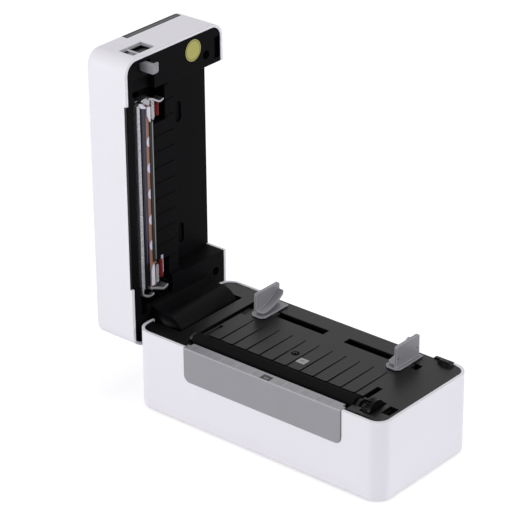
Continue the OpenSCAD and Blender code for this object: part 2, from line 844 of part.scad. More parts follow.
sensor_t = 1.6;
sensor_post = 1;
module sensor_board() color("#2c5f3a") place() {
  span([eye_x - eye_l - sensor_t, window_y, deck_under - sensor_post - sensor_t],
    [window_x + window_l, eye_y + eye_r + sensor_t, deck_under - sensor_post]);
  for (p = [[eye_x, eye_y], [window_x + window_l / 2, window_y + window_w / 2]])
    translate([p[0], p[1], deck_under - sensor_post - sensor_t / 2]) cylinder(r = eye_r - pin_gap, h = sensor_post + sensor_t);
}

// Sprung catch under the latch hole: a leaf that the hook snaps past
catch_z = part_z - hook_reach + hook_nose_t + catch_gap;
module latch_catch() color("#202022") place() {
  y = latch_y + latch_hole_w;
  span([latch_x, y - catch_lip, catch_z], [latch_x + latch_hole_l, y + catch_t, catch_z + catch_t]);
  span([latch_x, y, catch_z], [latch_x + latch_hole_l, y + catch_t, deck_under]);
  span([latch_x, y, deck_under - catch_t], [latch_x + latch_hole_l, y + latch_hole_l, deck_under]);
}

// Side frames stand on the bottom cover and carry the roller
module frame_left() color("#2b2b2e") place() difference() {
  union() {
    span([frame_left_x, frame_front, cover_t], [frame_left_x + frame_t, frame_back, deck_under - slide_gap]);
    rod_x([frame_left_x, platen_y, platen_z], bush_r + bush_ring, frame_t);
    span([frame_left_x, platen_y - bush_r, deck_under - frame_t], [frame_left_x + frame_t, platen_y + bush_r, platen_z]);
    span([frame_left_x, frame_front, cover_t], [frame_left_x + frame_foot_l, frame_foot_back, cover_t + frame_foot_t]);
  }
  rod_x([frame_left_x - over, platen_y, platen_z], bush_r + pin_gap, frame_t + 2 * over);
  frame_screw_holes();
}

frame_front = 9;
frame_foot_back = motor_y - motor_size / 2 - slide_gap;
frame_behind = 22;
frame_back = base_w - frame_behind;
frame_right_back = motor_y + motor_size / 2;
frame_screw_places = [for (x = [frame_left_x + frame_foot_l - boss_r - over, frame_right_x + frame_t - frame_foot_l + boss_r],
  y = [frame_front + boss_r, frame_foot_back - boss_r]) [x, y]];
module frame_screw_holes() for (p = frame_screw_places) translate([p[0], p[1], cover_t - over])
  cylinder(r = screw_r + pin_gap, h = frame_foot_t + 2 * over);

module frame_right() color("#2b2b2e") place() difference() {
  union() {
    span([frame_right_x, frame_front, cover_t], [frame_right_x + frame_t, frame_right_back, deck_under - slide_gap]);
    rod_x([frame_right_x, platen_y, platen_z], bush_r + bush_ring, frame_t);
    span([frame_right_x, platen_y - bush_r, deck_under - frame_t], [frame_right_x + frame_t, platen_y + bush_r, platen_z]);
    span([frame_right_x + frame_t - frame_foot_l, frame_front, cover_t],
      [frame_right_x + frame_t, frame_foot_back, cover_t + frame_foot_t]);
  }
  rod_x([frame_right_x - over, platen_y, platen_z], bush_r + pin_gap, frame_t + 2 * over);
  rod_x([frame_right_x - over, idler_y, idler_z], stud_r + pin_gap, frame_t + 2 * over);
  rod_x([frame_right_x - over, motor_y, motor_z], motor_pilot_r + pin_gap, frame_t + 2 * over);
  for (p = motor_holes) rod_x([frame_right_x - over, p[0], p[1]], screw_r + pin_gap, frame_t + 2 * over);
  frame_screw_holes();
}

motor_holes = [for (y = [-1, 1], z = [-1, 1]) [motor_y + y * motor_pitch / 2, motor_z + z * motor_pitch / 2]];

module frame_screws() color("#9a9aa0") place() for (p = frame_screw_places) translate([p[0], p[1], 0])
  screw(cover_t + frame_foot_t);

module platen_bushings() color("#202022") place() {
  bushing(frame_left_x, 1);
  bushing(frame_right_x + frame_t, -1);
}

// Bushing in its frame with its flange on the roller's side
module bushing(x, side) difference() {
  union() {
    rod_x([side > 0 ? x : x - frame_t, platen_y, platen_z], bush_r, frame_t);
    rod_x([side > 0 ? x + frame_t : x - frame_t - bush_flange_t, platen_y, platen_z], bush_flange_r, bush_flange_t);
  }
  rod_x([x - frame_t - bush_flange_t - over, platen_y, platen_z], journal_r + run_gap,
    2 * (frame_t + bush_flange_t + over));
}

module idler_stud() color("silver") place() {
  rod_x([frame_right_x, idler_y, idler_z], stud_r, idler_x + idler_t + run_gap * 2 - frame_right_x);
  rod_x([idler_x + idler_t + run_gap * 2, idler_y, idler_z], stud_head_r, stud_head_t);
}

module motor_body() color("#55555a") place() difference() {
  union() {
    translate([frame_right_x - motor_l, motor_y - motor_size / 2, motor_z - motor_size / 2]) rotate([90, 0, 90])
      linear_extrude(motor_l) polygon([[motor_cut, 0], [motor_size - motor_cut, 0], [motor_size, motor_cut],
        [motor_size, motor_size - motor_cut], [motor_size - motor_cut, motor_size], [motor_cut, motor_size],
        [0, motor_size - motor_cut], [0, motor_cut]]);
    rod_x([frame_right_x - over, motor_y, motor_z], motor_pilot_r, motor_pilot_t + over);
  }
  rod_x([frame_right_x - motor_l / 2, motor_y, motor_z], motor_shaft_r + run_gap, motor_l);
  for (p = motor_holes) rod_x([frame_right_x - screw_l / 2, p[0], p[1]], screw_r + pin_gap, screw_l);
}

module motor_screws() color("#9a9aa0") place() for (p = motor_holes) {
  rod_x([frame_right_x - screw_l / 2 + over, p[0], p[1]], screw_r, screw_l / 2 + frame_t);
  rod_x([frame_right_x + frame_t, p[0], p[1]], screw_head_r - over, screw_head_t);
}

// Tray under the deck that keeps the racks and the pinion up
rack_z = deck_under - rack_drop - rack_t;
tray_z = rack_z - run_gap * 2;
rack_low_y = pinion_y - guide_pitch_r - gear_m * dedendum_share - rack_body;
rack_high_y = pinion_y + guide_pitch_r + gear_m * dedendum_share + rack_body;
module rack_tray() color("#2b2b2e") place() {
  span([tray_x, rack_low_y - slide_gap - tray_wall, tray_z - tray_t],
    [tray_end, rack_high_y + slide_gap + tray_wall, tray_z]);
  span([guide_notch_x, rack_low_y - slide_gap - tray_wall, tray_z - over],
    [tray_end, rack_low_y - slide_gap, deck_under]);
}

module main_board() color("#2c5f3a") place() difference() {
  span([board_x, board_y, board_z], [board_x + board_l, base_w - shell_wall - seat_gap, board_z + board_t]);
  for (p = post_places) translate([p[0], p[1], board_z - over]) cylinder(r = screw_r + pin_gap, h = board_t + 2 * over);
}

chip_t = 1.4;
chip_size = 12;
can_r = 4;
can_h = 11;
header_l = 16;
header_w = 5;
header_h = 6;
module board_parts() color("#1c1c1e") place() {
  span([board_x + board_l / 2, board_y + chip_size, sockets_z], [board_x + board_l / 2 + chip_size, board_y + 2 * chip_size, sockets_z + chip_t]);
  span([board_x + board_l - 1.2 * chip_size, board_y + chip_size, sockets_z], [board_x + board_l - 0.2 * chip_size, board_y + 2 * chip_size, sockets_z + chip_t]);
  for (i = [1, 2]) translate([board_x + i * 3 * can_r, board_y + 3 * can_r, sockets_z]) cylinder(r = can_r, h = can_h);
  for (i = [0, 1]) span([board_x + board_l / 3 + i * (header_l + header_w), board_y + 1.5 * post_r, sockets_z],
    [board_x + board_l / 3 + header_l + i * (header_l + header_w), board_y + header_w, sockets_z + header_h]);
}

// Power inlet: a barrel jack with its centre pin
module power_inlet() color("#1c1c1e") place() {
  y = base_w - inlet_d;
  z = sockets_z + inlet_h - jack_bore_r - shell_wall;
  difference() {
    span([jack_x, y, sockets_z], [jack_x + inlet_w, base_w, sockets_z + inlet_h]);
    rod_y([jack_x + inlet_w / 2, y + shell_wall, z], jack_bore_r, inlet_d);
  }
  rod_y([jack_x + inlet_w / 2, y + shell_wall - over, z], jack_pin_r, inlet_d - shell_wall - over);
}

tongue_w = 5.6;
tongue_h = 3.2;
module data_socket() color("#b9b9be") place() {
  y = base_w - socket_d;
  difference() {
    span([socket_x, y, sockets_z], [socket_x + socket_w, base_w, sockets_z + socket_h]);
    span([socket_x + socket_skin, y + socket_skin, sockets_z + socket_skin],
      [socket_x + socket_w - socket_skin, base_w + over, sockets_z + socket_h - socket_skin]);
  }
  translate([socket_x + socket_w / 2, y, sockets_z + socket_h / 2]) span([-tongue_w / 2, socket_skin - over / 2, -tongue_h / 2],
    [tongue_w / 2, socket_d - 2 * socket_skin, tongue_h / 2]);
}

// Power switch: a framed housing and a rocker on a cross pin
module switch_housing() color("#1c1c1e") place() difference() {
  union() {
    span([switch_x, base_w - switch_d, switch_z], [switch_x + switch_w, base_w, switch_z + switch_h]);
    span([switch_x - switch_bezel, base_w, switch_z - switch_bezel],
      [switch_x + switch_w + switch_bezel, base_w + switch_bezel, switch_z + switch_h + switch_bezel]);
  }
  span([switch_x + switch_skin, base_w - switch_d + switch_skin, switch_z + switch_skin],
    [switch_x + switch_w - switch_skin, base_w + switch_bezel + over, switch_z + switch_h - switch_skin]);
  translate([switch_x + switch_w / 2, base_w - switch_pivot_in, switch_z - over])
    cylinder(r = switch_pivot_r + run_gap, h = switch_h + 2 * over);
}

switch_pivot_in = 4;
rocker_w = switch_w - 2 * switch_skin - 2 * slide_gap;
rocker_d = 5.5;
module switch_rocker() color("#b3262a") place() translate([switch_x + switch_w / 2, base_w - switch_pivot_in, switch_z + switch_skin + slide_gap])
  rotate([0, 0, -switch_tilt]) {
    h = switch_h - 2 * switch_skin - 2 * slide_gap;
    linear_extrude(h) polygon([[-rocker_w / 2, -rocker_d / 4], [rocker_w / 2, -rocker_d / 4],
      [rocker_w / 2 - slide_gap, rocker_d + switch_bezel / 2], [0, rocker_d - switch_bezel], [-rocker_w / 2 + slide_gap, rocker_d + switch_bezel / 2]]);
    translate([0, 0, -switch_skin - slide_gap]) cylinder(r = switch_pivot_r, h = h + 2 * (switch_skin + slide_gap));
  }

// Roller: shaft, rubber and gear
module platen_shaft() color("silver") place() {
  rod_x([platen_x - run_gap, platen_y, platen_z], shaft_r, platen_l + 2 * run_gap);
  rod_x([journal_x, platen_y, platen_z], journal_r, journal_end - journal_x);
}

module platen_rubber() color("#161618") place() difference() {
  rod_x([platen_x, platen_y, platen_z], platen_r, platen_l);
  rod_x([platen_x - over, platen_y, platen_z], shaft_r, platen_l + 2 * over);
}

module platen_gear() color("#202022") place() translate([gear_x, platen_y, platen_z]) rotate([90, 0, 90]) difference() {
  union() {
    gear(platen_teeth, gear_m, gear_t, backlash);
    translate([0, 0, gear_t]) cylinder(r = platen_pitch_r + gear_m * addendum_share + gear_flange_over, h = gear_flange_t);
  }
  translate([0, 0, -over]) cylinder(r = journal_r + pin_gap, h = over + gear_t + gear_flange_t - gear_cap);
}

// The idler is turned so that its teeth fall between the roller gear's on the line of centres
idler_x = gear_x + (gear_t - idler_t) / 2;
line_angle = -idler_angle;
idler_turn = (line_angle + 180) + (line_angle) * platen_teeth / idler_teeth + 180 / idler_teeth;
module idler_gear() color("#e3e0d6") place() translate([idler_x, idler_y, idler_z]) rotate([90, 0, 90]) difference() {
  rotate(idler_turn) gear(idler_teeth, gear_m, idler_t, backlash);
  translate([0, 0, -over]) cylinder(r = stud_r + run_gap, h = idler_t + 2 * over);
}

motor_line = -motor_angle;
motor_turn = (motor_line + 180) - (idler_turn - motor_line) * idler_teeth / motor_teeth + 180 / motor_teeth;
module motor_pinion() color("#c9a24a") place() translate([gear_x, motor_y, motor_z]) rotate([90, 0, 90]) {
  rotate(motor_turn) gear(motor_teeth, gear_m, gear_t, backlash);
  translate([0, 0, frame_right_x - motor_l / 3 - gear_x]) cylinder(r = motor_shaft_r, h = gear_x + gear_t + over - frame_right_x + motor_l / 3);
}

// Paper guides: an upright, a flange on the deck, a leg in the slot and a curved hold-down lip.
// Drawn for the left guide with its inner face on x = 0.
module guide() {
  difference() {
    translate([-guide_t, guide_y, deck_top + guide_lift]) rotate([90, 0, 90]) linear_extrude(guide_t) guide_outline();
    for (s = dot_shares) rod_x([-guide_t - over, guide_y + s * guide_l, deck_top + dot_z_share * guide_h], dot_r, dot_depth + over);
  }
  translate([0, 0, deck_top + guide_lift]) linear_extrude(flange_t) polygon([[-flange_out + flange_cut, flange_y],
    [flange_in - flange_cut, flange_y], [flange_in, flange_y + flange_cut], [flange_in, flange_y + flange_l],
    [-flange_out, flange_y + flange_l], [-flange_out, flange_y + flange_cut]]);
  guide_lip();
  span([-flange_out - leg_past, slot_y + slide_gap, rack_z], [flange_in + leg_past, slot_y + slot_w - slide_gap, deck_top - deck_drop]);
  span([-flange_out + over, slot_y + slide_gap, rack_z], [flange_in - over, slot_y + slot_w - slide_gap, deck_top + guide_lift + over]);
}

module guide_outline() {
  top = guide_h - guide_lift;
  square([guide_l, top - guide_ease]);
  translate([guide_ease, 0]) square([guide_l - 2 * guide_ease, top]);
  for (y = [guide_ease, guide_l - guide_ease]) translate([y, top - guide_ease]) circle(guide_ease);
}

// The lip rises as the square of the way from the platen to the inlet; its outer corners are round
function lip_z(s) = lip_low + lip_rise * s * s;
module guide_lip() intersection() {
  translate([-guide_t / 2, guide_y + over, deck_top]) rotate([90, 0, 90]) linear_extrude(lip_reach + guide_t / 2)
    polygon(concat([for (i = [0:lip_steps]) let (s = i / lip_steps) [s * lip_run, lip_z(s)]],
      [for (i = [lip_steps:-1:0]) let (s = i / lip_steps) [s * (lip_run - lip_t * lip_lean), lip_z(s) + lip_t]]));
  translate([-guide_t, guide_y + over, deck_top]) linear_extrude(guide_h) {
    square([lip_reach + guide_t - lip_round, lip_run]);
    translate([0, lip_round]) square([lip_reach + guide_t, lip_run - 2 * lip_round]);
    for (y = [lip_round, lip_run - lip_round]) translate([lip_reach + guide_t - lip_round, y]) circle(lip_round);
  }
}

module guide_left() color("#77777c") place() translate([media_mid - media_max / 2, 0, 0]) guide();
module guide_right() color("#77777c") place() translate([media_mid + media_max / 2, 0, 0]) mirror([1, 0, 0]) guide();

// Racks: a foot under the guide's leg and a toothed bar that reaches past the pinion
rack_pitch = PI * gear_m;
rack_teeth = ceil((guide_travel + 2 * gear_m + 6 * rack_pitch / 2) / rack_pitch) + 1;
module rack_left() color("#2b2b2e") place() translate([0, pinion_y - guide_pitch_r - mesh_gap, rack_z]) {
  rack(pinion_x + rack_pitch / 2 - (rack_teeth - 3) * rack_pitch, rack_teeth, rack_body, rack_t, backlash);
  x = media_mid - media_max / 2 - guide_t - flange_out;
  low = -gear_m * dedendum_share - rack_body;
  span([x, low, 0], [pinion_x - (rack_teeth - 3) * rack_pitch + over, -gear_m * dedendum_share, rack_t]);
  span([x, low, 0], [x + leg_l, slot_y + slide_gap - pinion_y + guide_pitch_r + mesh_gap, rack_t]);
}

module rack_right() color("#2b2b2e") place() translate([2 * pinion_x, 2 * pinion_y, 0]) rotate([0, 0, 180])
  translate([0, pinion_y - guide_pitch_r - mesh_gap, rack_z]) {
    rack(pinion_x + rack_pitch / 2 - (rack_teeth - 3) * rack_pitch, rack_teeth, rack_body, rack_t, backlash);
    x = 2 * pinion_x - media_mid - media_max / 2 - guide_t - flange_out;
    low = -gear_m * dedendum_share - rack_body;
    span([x, low, 0], [pinion_x - (rack_teeth - 3) * rack_pitch + over, -gear_m * dedendum_share, rack_t]);
    span([x, low, 0], [x + leg_l, slot_y + slide_gap - pinion_y + guide_pitch_r + mesh_gap, rack_t]);
  }

module guide_pinion() color("#202022") place() translate([pinion_x, pinion_y, rack_z]) difference() {
  rotate(90 + 180 / guide_teeth * (guide_teeth % 2)) gear(guide_teeth, gear_m, rack_t, backlash);
  translate([0, 0, -over]) cylinder(r = pinion_hub_r + run_gap, h = rack_t + 2 * over);
}

// Lid housing, open side down, soft edges on the roof
module lid_body() translate([0, base_w, lid_h]) rotate([180, 0, 0]) soft_block(base_l, base_w, lid_h, corner_r, lid_soft);

module lid_shell() color("white") lid_frame() difference() {
  lid_body();
  difference() {
    translate([0, 0, -over]) linear_extrude(lid_h - shell_wall + over) inside_plan(0);
    for (p = lid_screw_places) translate([p[0], p[1], lid_screw_floor + liner_t]) cylinder(r = boss_lid_r, h = lid_h);
    translate([button_x, button_y, lid_h - shell_wall - button_stem_l]) cylinder(r = button_stem_r + 2 * shell_wall, h = button_stem_l);
  }
  for (p = lid_screw_places) translate([p[0], p[1], lid_screw_floor + liner_t - over]) cylinder(r = screw_r + pin_gap, h = screw_l + over);
  span([tear_x + exit_in, -over, -over], [tear_x + tear_l + exit_in, shell_wall + over, exit_lift]);
  span([inlet_x - seat_gap, base_w - shell_wall - over, -over],
    [block_latch + seat_gap, base_w + over, paper_space + liner_t + seat_gap]);
  end_window();
  swing_relief();
  translate([0, 0, lid_h]) roof_panel_room(seat_gap);
  button_bore();
}

exit_in = 1;
lid_screw_places = [for (s = lid_screw_shares) [s[0] * base_l, s[1] * base_w]];

// Room for the base's end wall as the lid swings, beside the barrel
module swing_relief() for (s = [[shell_wall, notch_y + seat_gap], [notch_end - seat_gap, base_w - shell_wall]])
  rod_y([hinge_x, s[0], hinge_z - part_z], swing_r, s[1] - s[0]);

// Window for the latch's finger tab in the lid's latch end
module end_window() {
  y = window_end_y;
  z = window_end_z;
  b = window_bevel;
  span([base_l - shell_wall - over, y, z], [base_l + over, y + window_end_w - b, z + window_end_h - b]);
  span([base_l - shell_wall / 2, y, z], [base_l + over, y + window_end_w, z + window_end_h]);
}

module roof_panel_room(gap) {
  x = base_l - panel_top_l;
  span([x - gap, panel_top_y - gap, -panel_top_t - gap], [base_l + over, panel_top_y + panel_top_w + gap, over]);
  span([base_l - panel_top_t - gap, panel_top_y - gap, -panel_top_drop - gap],
    [base_l + over, panel_top_y + panel_top_w + gap, over]);
}

module button_bore() {
  translate([button_x, button_y, lid_h - panel_top_t - shell_wall - over]) cylinder(r = button_r + seat_gap, h = shell_wall + panel_top_t + 2 * over);
  translate([button_x, button_y, lid_h - shell_wall - button_stem_l + button_seat_t]) cylinder(r = spring_r + spring_wire + seat_gap, h = button_stem_l);
  translate([light_x, button_y, lid_h - light_l - over]) cylinder(r = light_r + pin_gap, h = light_l + 2 * over);
}

// Black liner: the face beside the rim, the head bay, the ribbed panel and the deep paper space
module lid_liner() color("#1d1d1f") lid_frame() {
  lid_ribs();
  liner_body();
}

module liner_body() difference() {
  union() {
    translate([0, 0, liner_face]) linear_extrude(liner_depth - liner_face) inside_plan(liner_gap);
    span([bay_x - liner_t, shell_wall + liner_gap, liner_face], [bay_end + liner_t, bay_back + liner_t, bay_depth + liner_t]);
    span([inlet_x, panel_back, paper_space - over], [block_latch, base_w - lip_back, paper_space + liner_t]);
    span([hook_x - slide_gap - liner_t, window_end_y - 2 * liner_t, liner_face],
      [base_l - shell_wall - liner_gap, latch_room_end + liner_t, latch_room_top + liner_t]);
  }
  liner_front_pockets();
  liner_back_voids();
  swing_relief();
  for (p = lid_screw_places) translate([p[0], p[1], -over]) cylinder(r = lid_screw_r, h = lid_screw_floor + over);
  for (p = lid_screw_places) translate([p[0], p[1], -over]) cylinder(r = screw_r + seat_gap, h = liner_depth);
  for (s = oval_shares) translate([s * base_l, oval_y, paper_space - over]) linear_extrude(over + oval_depth)
    oval(oval_l, oval_r);
  span([hook_x - slide_gap, hook_y - latch_travel - slide_gap, -over],
    [hook_x + hook_w + slide_gap, hook_y + hook_t + hook_nose + slide_gap, liner_depth + over]);
  span([hook_x - slide_gap, window_end_y - liner_t / 2, window_end_z - seat_gap], [base_l, latch_room_end, latch_room_top]);
}

// Ribs on the panel that faces the deck's ribs
module lid_ribs() for (i = [0:rib_count - 1]) {
  x = media_mid + (i - (rib_count - 1) / 2) * rib_pitch;
  beside = min(x - bay_x, bay_end - x) < bay_wing_l + lid_rib_w;
  low = (beside ? bay_wing : bay_back) + lid_rib_ease;
  high = panel_back - lid_rib_ease;
  if (high > low) span([x - lid_rib_w / 2, low, panel_face - lid_rib_h], [x + lid_rib_w / 2, high, panel_face + over]);
}

module liner_front_pockets() {
  span([inlet_x, panel_back, -over], [block_latch, base_w, paper_space]);
  span([panel_x - over, bay_back, -over], [block_latch - over, panel_back + over, panel_face]);
  span([bay_x, bay_y, -over], [bay_end, bay_back, bay_depth]);
  for (x = [bay_x, bay_end - bay_wing_l]) span([x, bay_back - over, -over], [x + bay_wing_l, bay_wing, liner_depth - liner_t]);
  span([bay_end - over, gear_well_y - shell_wall / 2, -over], [gear_well_x + gear_well_l + over, gear_well_y + gear_well_w + shell_wall, gear_pocket]);
  span([tab_x - shell_wall, tab_y - shell_wall, -over],
    [tab_x + tab_l + shell_wall, base_w - shell_wall - liner_gap - pocket_skin, tab_h + over]);
  span([tear_x, 0, -over], [tear_x + tear_l, bay_y + over, exit_lift - over / 2]);
}

// The liner is a shell: its hidden side follows the blocks
module liner_back_voids() {
  top = liner_depth + over;
  low = liner_face + liner_t;
  y0 = shell_wall + liner_gap + liner_t;
  y1 = base_w - y0;
  difference() {
    union() {
      span([y0, bay_back + 2 * liner_t, swing_r - (part_z - hinge_z) + liner_t], [block_hinge - liner_t, y1, top]);
      span([block_latch + liner_t, bay_back + 2 * liner_t, low], [base_l - y0, y1, top]);
    }
    for (p = lid_screw_places) translate([p[0], p[1], 0]) cylinder(r = lid_screw_r + liner_t, h = lid_screw_floor + liner_t);
    latch_block();
  }
  for (p = lid_screw_places) translate([p[0], p[1], lid_screw_floor + liner_t]) cylinder(r = boss_lid_r + seat_gap, h = lid_h);
  if (panel_back > bay_back + 3 * liner_t) span([bay_x + bay_wing_l + liner_t, bay_back + 2 * liner_t, panel_face + liner_t],
    [bay_end - bay_wing_l - liner_t, panel_back - liner_t, top]);
  difference() {
    span([bay_end + 2 * liner_t, y0, gear_pocket + liner_t], [base_l - y0, bay_back + liner_t, top]);
    latch_block();
  }
}

// Closed box round the latch, behind the end window
module latch_block() span([hook_x - slide_gap - liner_t, 0, 0],
  [base_l, latch_room_end + liner_t, latch_room_top + liner_t]);

// Hinge barrel: knuckle on the pins, neck to the liner and the curved cover
module hinge_barrel() color("#202022") lid_frame() translate([hinge_x, 0, hinge_z - part_z]) difference() {
  face = part_z - hinge_z + liner_face;
  union() {
    rod_y([0, barrel_y, 0], knuckle_r, barrel_l);
    rod_y([0, barrel_y - hub_l, 0], hub_r, barrel_l + 2 * hub_l);
    translate([0, barrel_y + barrel_l, 0]) rotate([90, 0, 0]) linear_extrude(barrel_l) barrel_profile(face, 0);
  }
  translate([0, barrel_y + barrel_l - barrel_cap, 0]) rotate([90, 0, 0]) linear_extrude(barrel_l - 2 * barrel_cap) difference() {
    barrel_profile(face - barrel_skin, barrel_skin);
    circle(knuckle_r);
    translate([-neck_back, 0]) square([neck_back + knuckle_r / 2, face]);
  }
  for (y = [barrel_y - hub_l - over, barrel_y + barrel_l + hub_l - pin_l]) rod_y([0, y, 0], pin_r + run_gap, pin_l + over);
}

// Section of the barrel: x towards the latch end, y up to the liner's face
module barrel_profile(face, skin) {
  intersection() {
    translate([barrel_off_s, -barrel_off_n]) circle(barrel_r - skin);
    translate([-barrel_low + skin, -barrel_r - barrel_off_n - over])
      square([2 * barrel_r, face + barrel_r + barrel_off_n + over]);
  }
  translate([-neck_back + skin, -barrel_off_n])
    square([neck_back + barrel_off_s + barrel_r - 2 * skin, face + barrel_off_n]);
  if (skin == 0) translate([barrel_off_s + barrel_r, 0])
    polygon([[-over, face - 2 * barrel_flare], [0, face - 2 * barrel_flare], [barrel_flare, face], [-over, face]]);
}

module lid_screws() color("#9a9aa0") lid_frame() for (p = lid_screw_places)
  translate([p[0], p[1], lid_screw_floor - screw_head_t]) screw(screw_l);

module lid_sticker() color("#c5c167") lid_frame() translate([sticker_x, sticker_y, liner_face - sticker_t])
  cylinder(r = sticker_r, h = sticker_t);

module top_panel() color("#4a4a50") lid_frame() difference() {
  intersection() {
    lid_body();
    translate([0, 0, lid_h]) roof_panel_room(0);
  }
  translate([button_x, button_y, 0]) cylinder(r = button_r + seat_gap, h = lid_h + over);
  translate([light_x, button_y, 0]) cylinder(r = light_r + pin_gap, h = lid_h + over);
}

module status_light() color("#9fd3ff") lid_frame() translate([light_x, button_y, lid_h - light_l]) cylinder(r = light_r, h = light_l);

module feed_button() color("#5c5c62") lid_frame() translate([button_x, button_y, lid_h]) {
  translate([0, 0, -button_seat]) cylinder(r = button_r, h = button_seat + button_rise);
  translate([0, 0, -button_seat - button_stem_l / 2]) cylinder(r = button_stem_r - over, h = button_stem_l / 2 + over);
}
button_seat = panel_top_t;
spring_room = shell_wall + button_stem_l - button_seat_t - button_seat;
module button_spring() color("silver") lid_frame() translate([button_x, button_y, lid_h - button_seat - spring_room])
  coil(spring_r, spring_wire, spring_turns - 1, spring_room);

// Latch: hook, carrier and finger tab in one moulding
module latch_lever() color("#97979c") lid_frame() {
  z0 = -hook_reach;
  translate([hook_x + hook_w, 0, 0]) rotate([90, 0, -90]) mirror([1, 0, 0]) linear_extrude(hook_w) hook_profile();
  span([hook_x, hook_y, hook_top - carrier_t], [hook_x + hook_w, hook_y + carrier_l, hook_top]);
  span([hook_x + hook_w - over, tab_lever_y, window_end_z + over], [base_l - shell_wall * 0.6, tab_lever_y + tab_lever_w, hook_top]);
  span([hook_x, tab_lever_y, hook_top - carrier_t], [hook_x + hook_w, hook_y + hook_t, hook_top]);
}

module hook_profile() {
  polygon([[hook_y, hook_top], [hook_y + hook_t, hook_top], [hook_y + hook_t, -hook_reach + hook_nose_t],
    [hook_y + hook_t + hook_nose, -hook_reach + hook_nose_t], [hook_y + hook_t + hook_nose, -hook_reach + hook_nose_t * 0.6],
    [hook_y + hook_t, -hook_reach], [hook_y, -hook_reach]]);
}

module latch_spring() color("silver") lid_frame() translate([hook_x + hook_w / 2, hook_y + carrier_l, hook_top + over]) rotate([-90, 0, 0])
  coil(latch_spring_r, spring_wire * 0.75, spring_turns, latch_spring_l);

// Print head, drawn in the lid frame; the pad that prints faces the rim
module head_sink() color("#b8bac0") lid_frame() {
  span([head_x, sink_y, sink_low], [head_x + head_l, sink_y + sink_w, sink_low + sink_t]);
  span([head_x, sink_y, sink_low - sink_lip], [head_x + head_l, sink_y + sink_lip_w, sink_low + over]);
}

ceramic_y = sink_y + sink_lip_w + seat_gap;
module head_ceramic() color("#4a4560") lid_frame() span([head_x, ceramic_y, ceramic_low],
  [head_x + head_l, ceramic_y + ceramic_w, sink_low]);

module head_board() color("#a4644a") lid_frame() span([head_x, ceramic_y + ceramic_w + seat_gap, sink_low - head_board_t],
  [head_x + head_l, ceramic_y + ceramic_w + head_board_w, sink_low]);

cover_y = ceramic_y + ceramic_w + head_board_w - head_cover_w;
module head_cover() color("#151517") lid_frame() span([head_x + connector_l, cover_y, head_cover_low],
  [head_x + head_l - connector_l, cover_y + head_cover_w, sink_low - head_board_t]);

module head_connectors() color("#e9e9ec") lid_frame() for (x = [head_x, head_x + head_l - connector_l + seat_gap])
  span([x, ceramic_y + ceramic_w + 2 * seat_gap, head_cover_low],
    [x + connector_l - seat_gap, ceramic_y + ceramic_w + connector_w, sink_low - head_board_t]);

module head_contacts() color("#a9aaae") lid_frame() for (x = [head_x, head_x + head_l - connector_l + seat_gap])
  difference() {
    span([x, cover_y, head_cover_low + seat_gap], [x + connector_l - seat_gap, cover_y + contact_w, sink_low - head_board_t]);
    for (i = [1:contact_ribs - 1]) span([x + i * connector_l / contact_ribs, cover_y - over, head_cover_low],
      [x + (i + 0.45) * connector_l / contact_ribs, cover_y + contact_w + over, head_cover_low + 2.5 * seat_gap]);
  }

// Plated bracket: a back plate with two end ears that hold the sink's ends
module head_bracket() color("#c8c8cc") lid_frame() {
  top = sink_low + sink_t;
  span([head_x - bracket_t, sink_y, top], [head_x + head_l + bracket_t, sink_y + sink_w, top + bracket_t]);
  for (x = [head_x - bracket_t, head_x + head_l]) difference() {
    span([x, sink_y, sink_low - 1.5 * sink_lip], [x + bracket_t, sink_y + bracket_w, top + over]);
    span([x - over, sink_y + bracket_ear, sink_low + bracket_t * 2], [x + bracket_t + over, sink_y + bracket_w + over, top + bracket_t]);
  }
}

module head_leads() color("#a52a22") lid_frame() for (x = [head_x, head_x + head_l - lead_l])
  span([x, sink_y + sink_w + seat_gap, sink_low], [x + lead_l, sink_y + sink_w + lead_w, sink_low + sink_t / 2]);

head_spring_l = bay_depth - sink_low - sink_t - bracket_t;
module head_springs() color("silver") lid_frame() for (s = [0.2, 0.8])
  translate([head_x + s * head_l, sink_y + sink_w / 2, sink_low + sink_t + bracket_t]) coil(spring_r, spring_wire, spring_turns, head_spring_l);

echo(least_spring_gap = min(coil_gap(spring_wire, spring_turns, head_spring_l),
  coil_gap(spring_wire, spring_turns - 1, spring_room), coil_gap(spring_wire * 0.75, spring_turns, latch_spring_l)));

base_shell();
bottom_cover();
rubber_feet();
cover_screws();
hinge_surround();
deck();
tear_plate();
sensor_window();
sensor_board();
latch_catch();
hinge_pins();
frame_left();
frame_right();
frame_screws();
platen_bushings();
idler_stud();
motor_body();
motor_screws();
rack_tray();
main_board();
board_parts();
power_inlet();
data_socket();
switch_housing();
switch_rocker();
platen_shaft();
platen_rubber();
platen_gear();
idler_gear();
motor_pinion();
guide_left();
rack_left();
guide_right();
rack_right();
guide_pinion();
lid_shell();
lid_liner();
hinge_barrel();
lid_screws();
lid_sticker();
top_panel();
status_light();
feed_button();
button_spring();
latch_lever();
latch_spring();
head_bracket();
head_sink();
head_ceramic();
head_board();
head_cover();
head_connectors();
head_contacts();
head_leads();
head_springs();
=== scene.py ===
import json
import math

import bmesh
import bpy
import numpy as np
from mathutils import Matrix, Vector


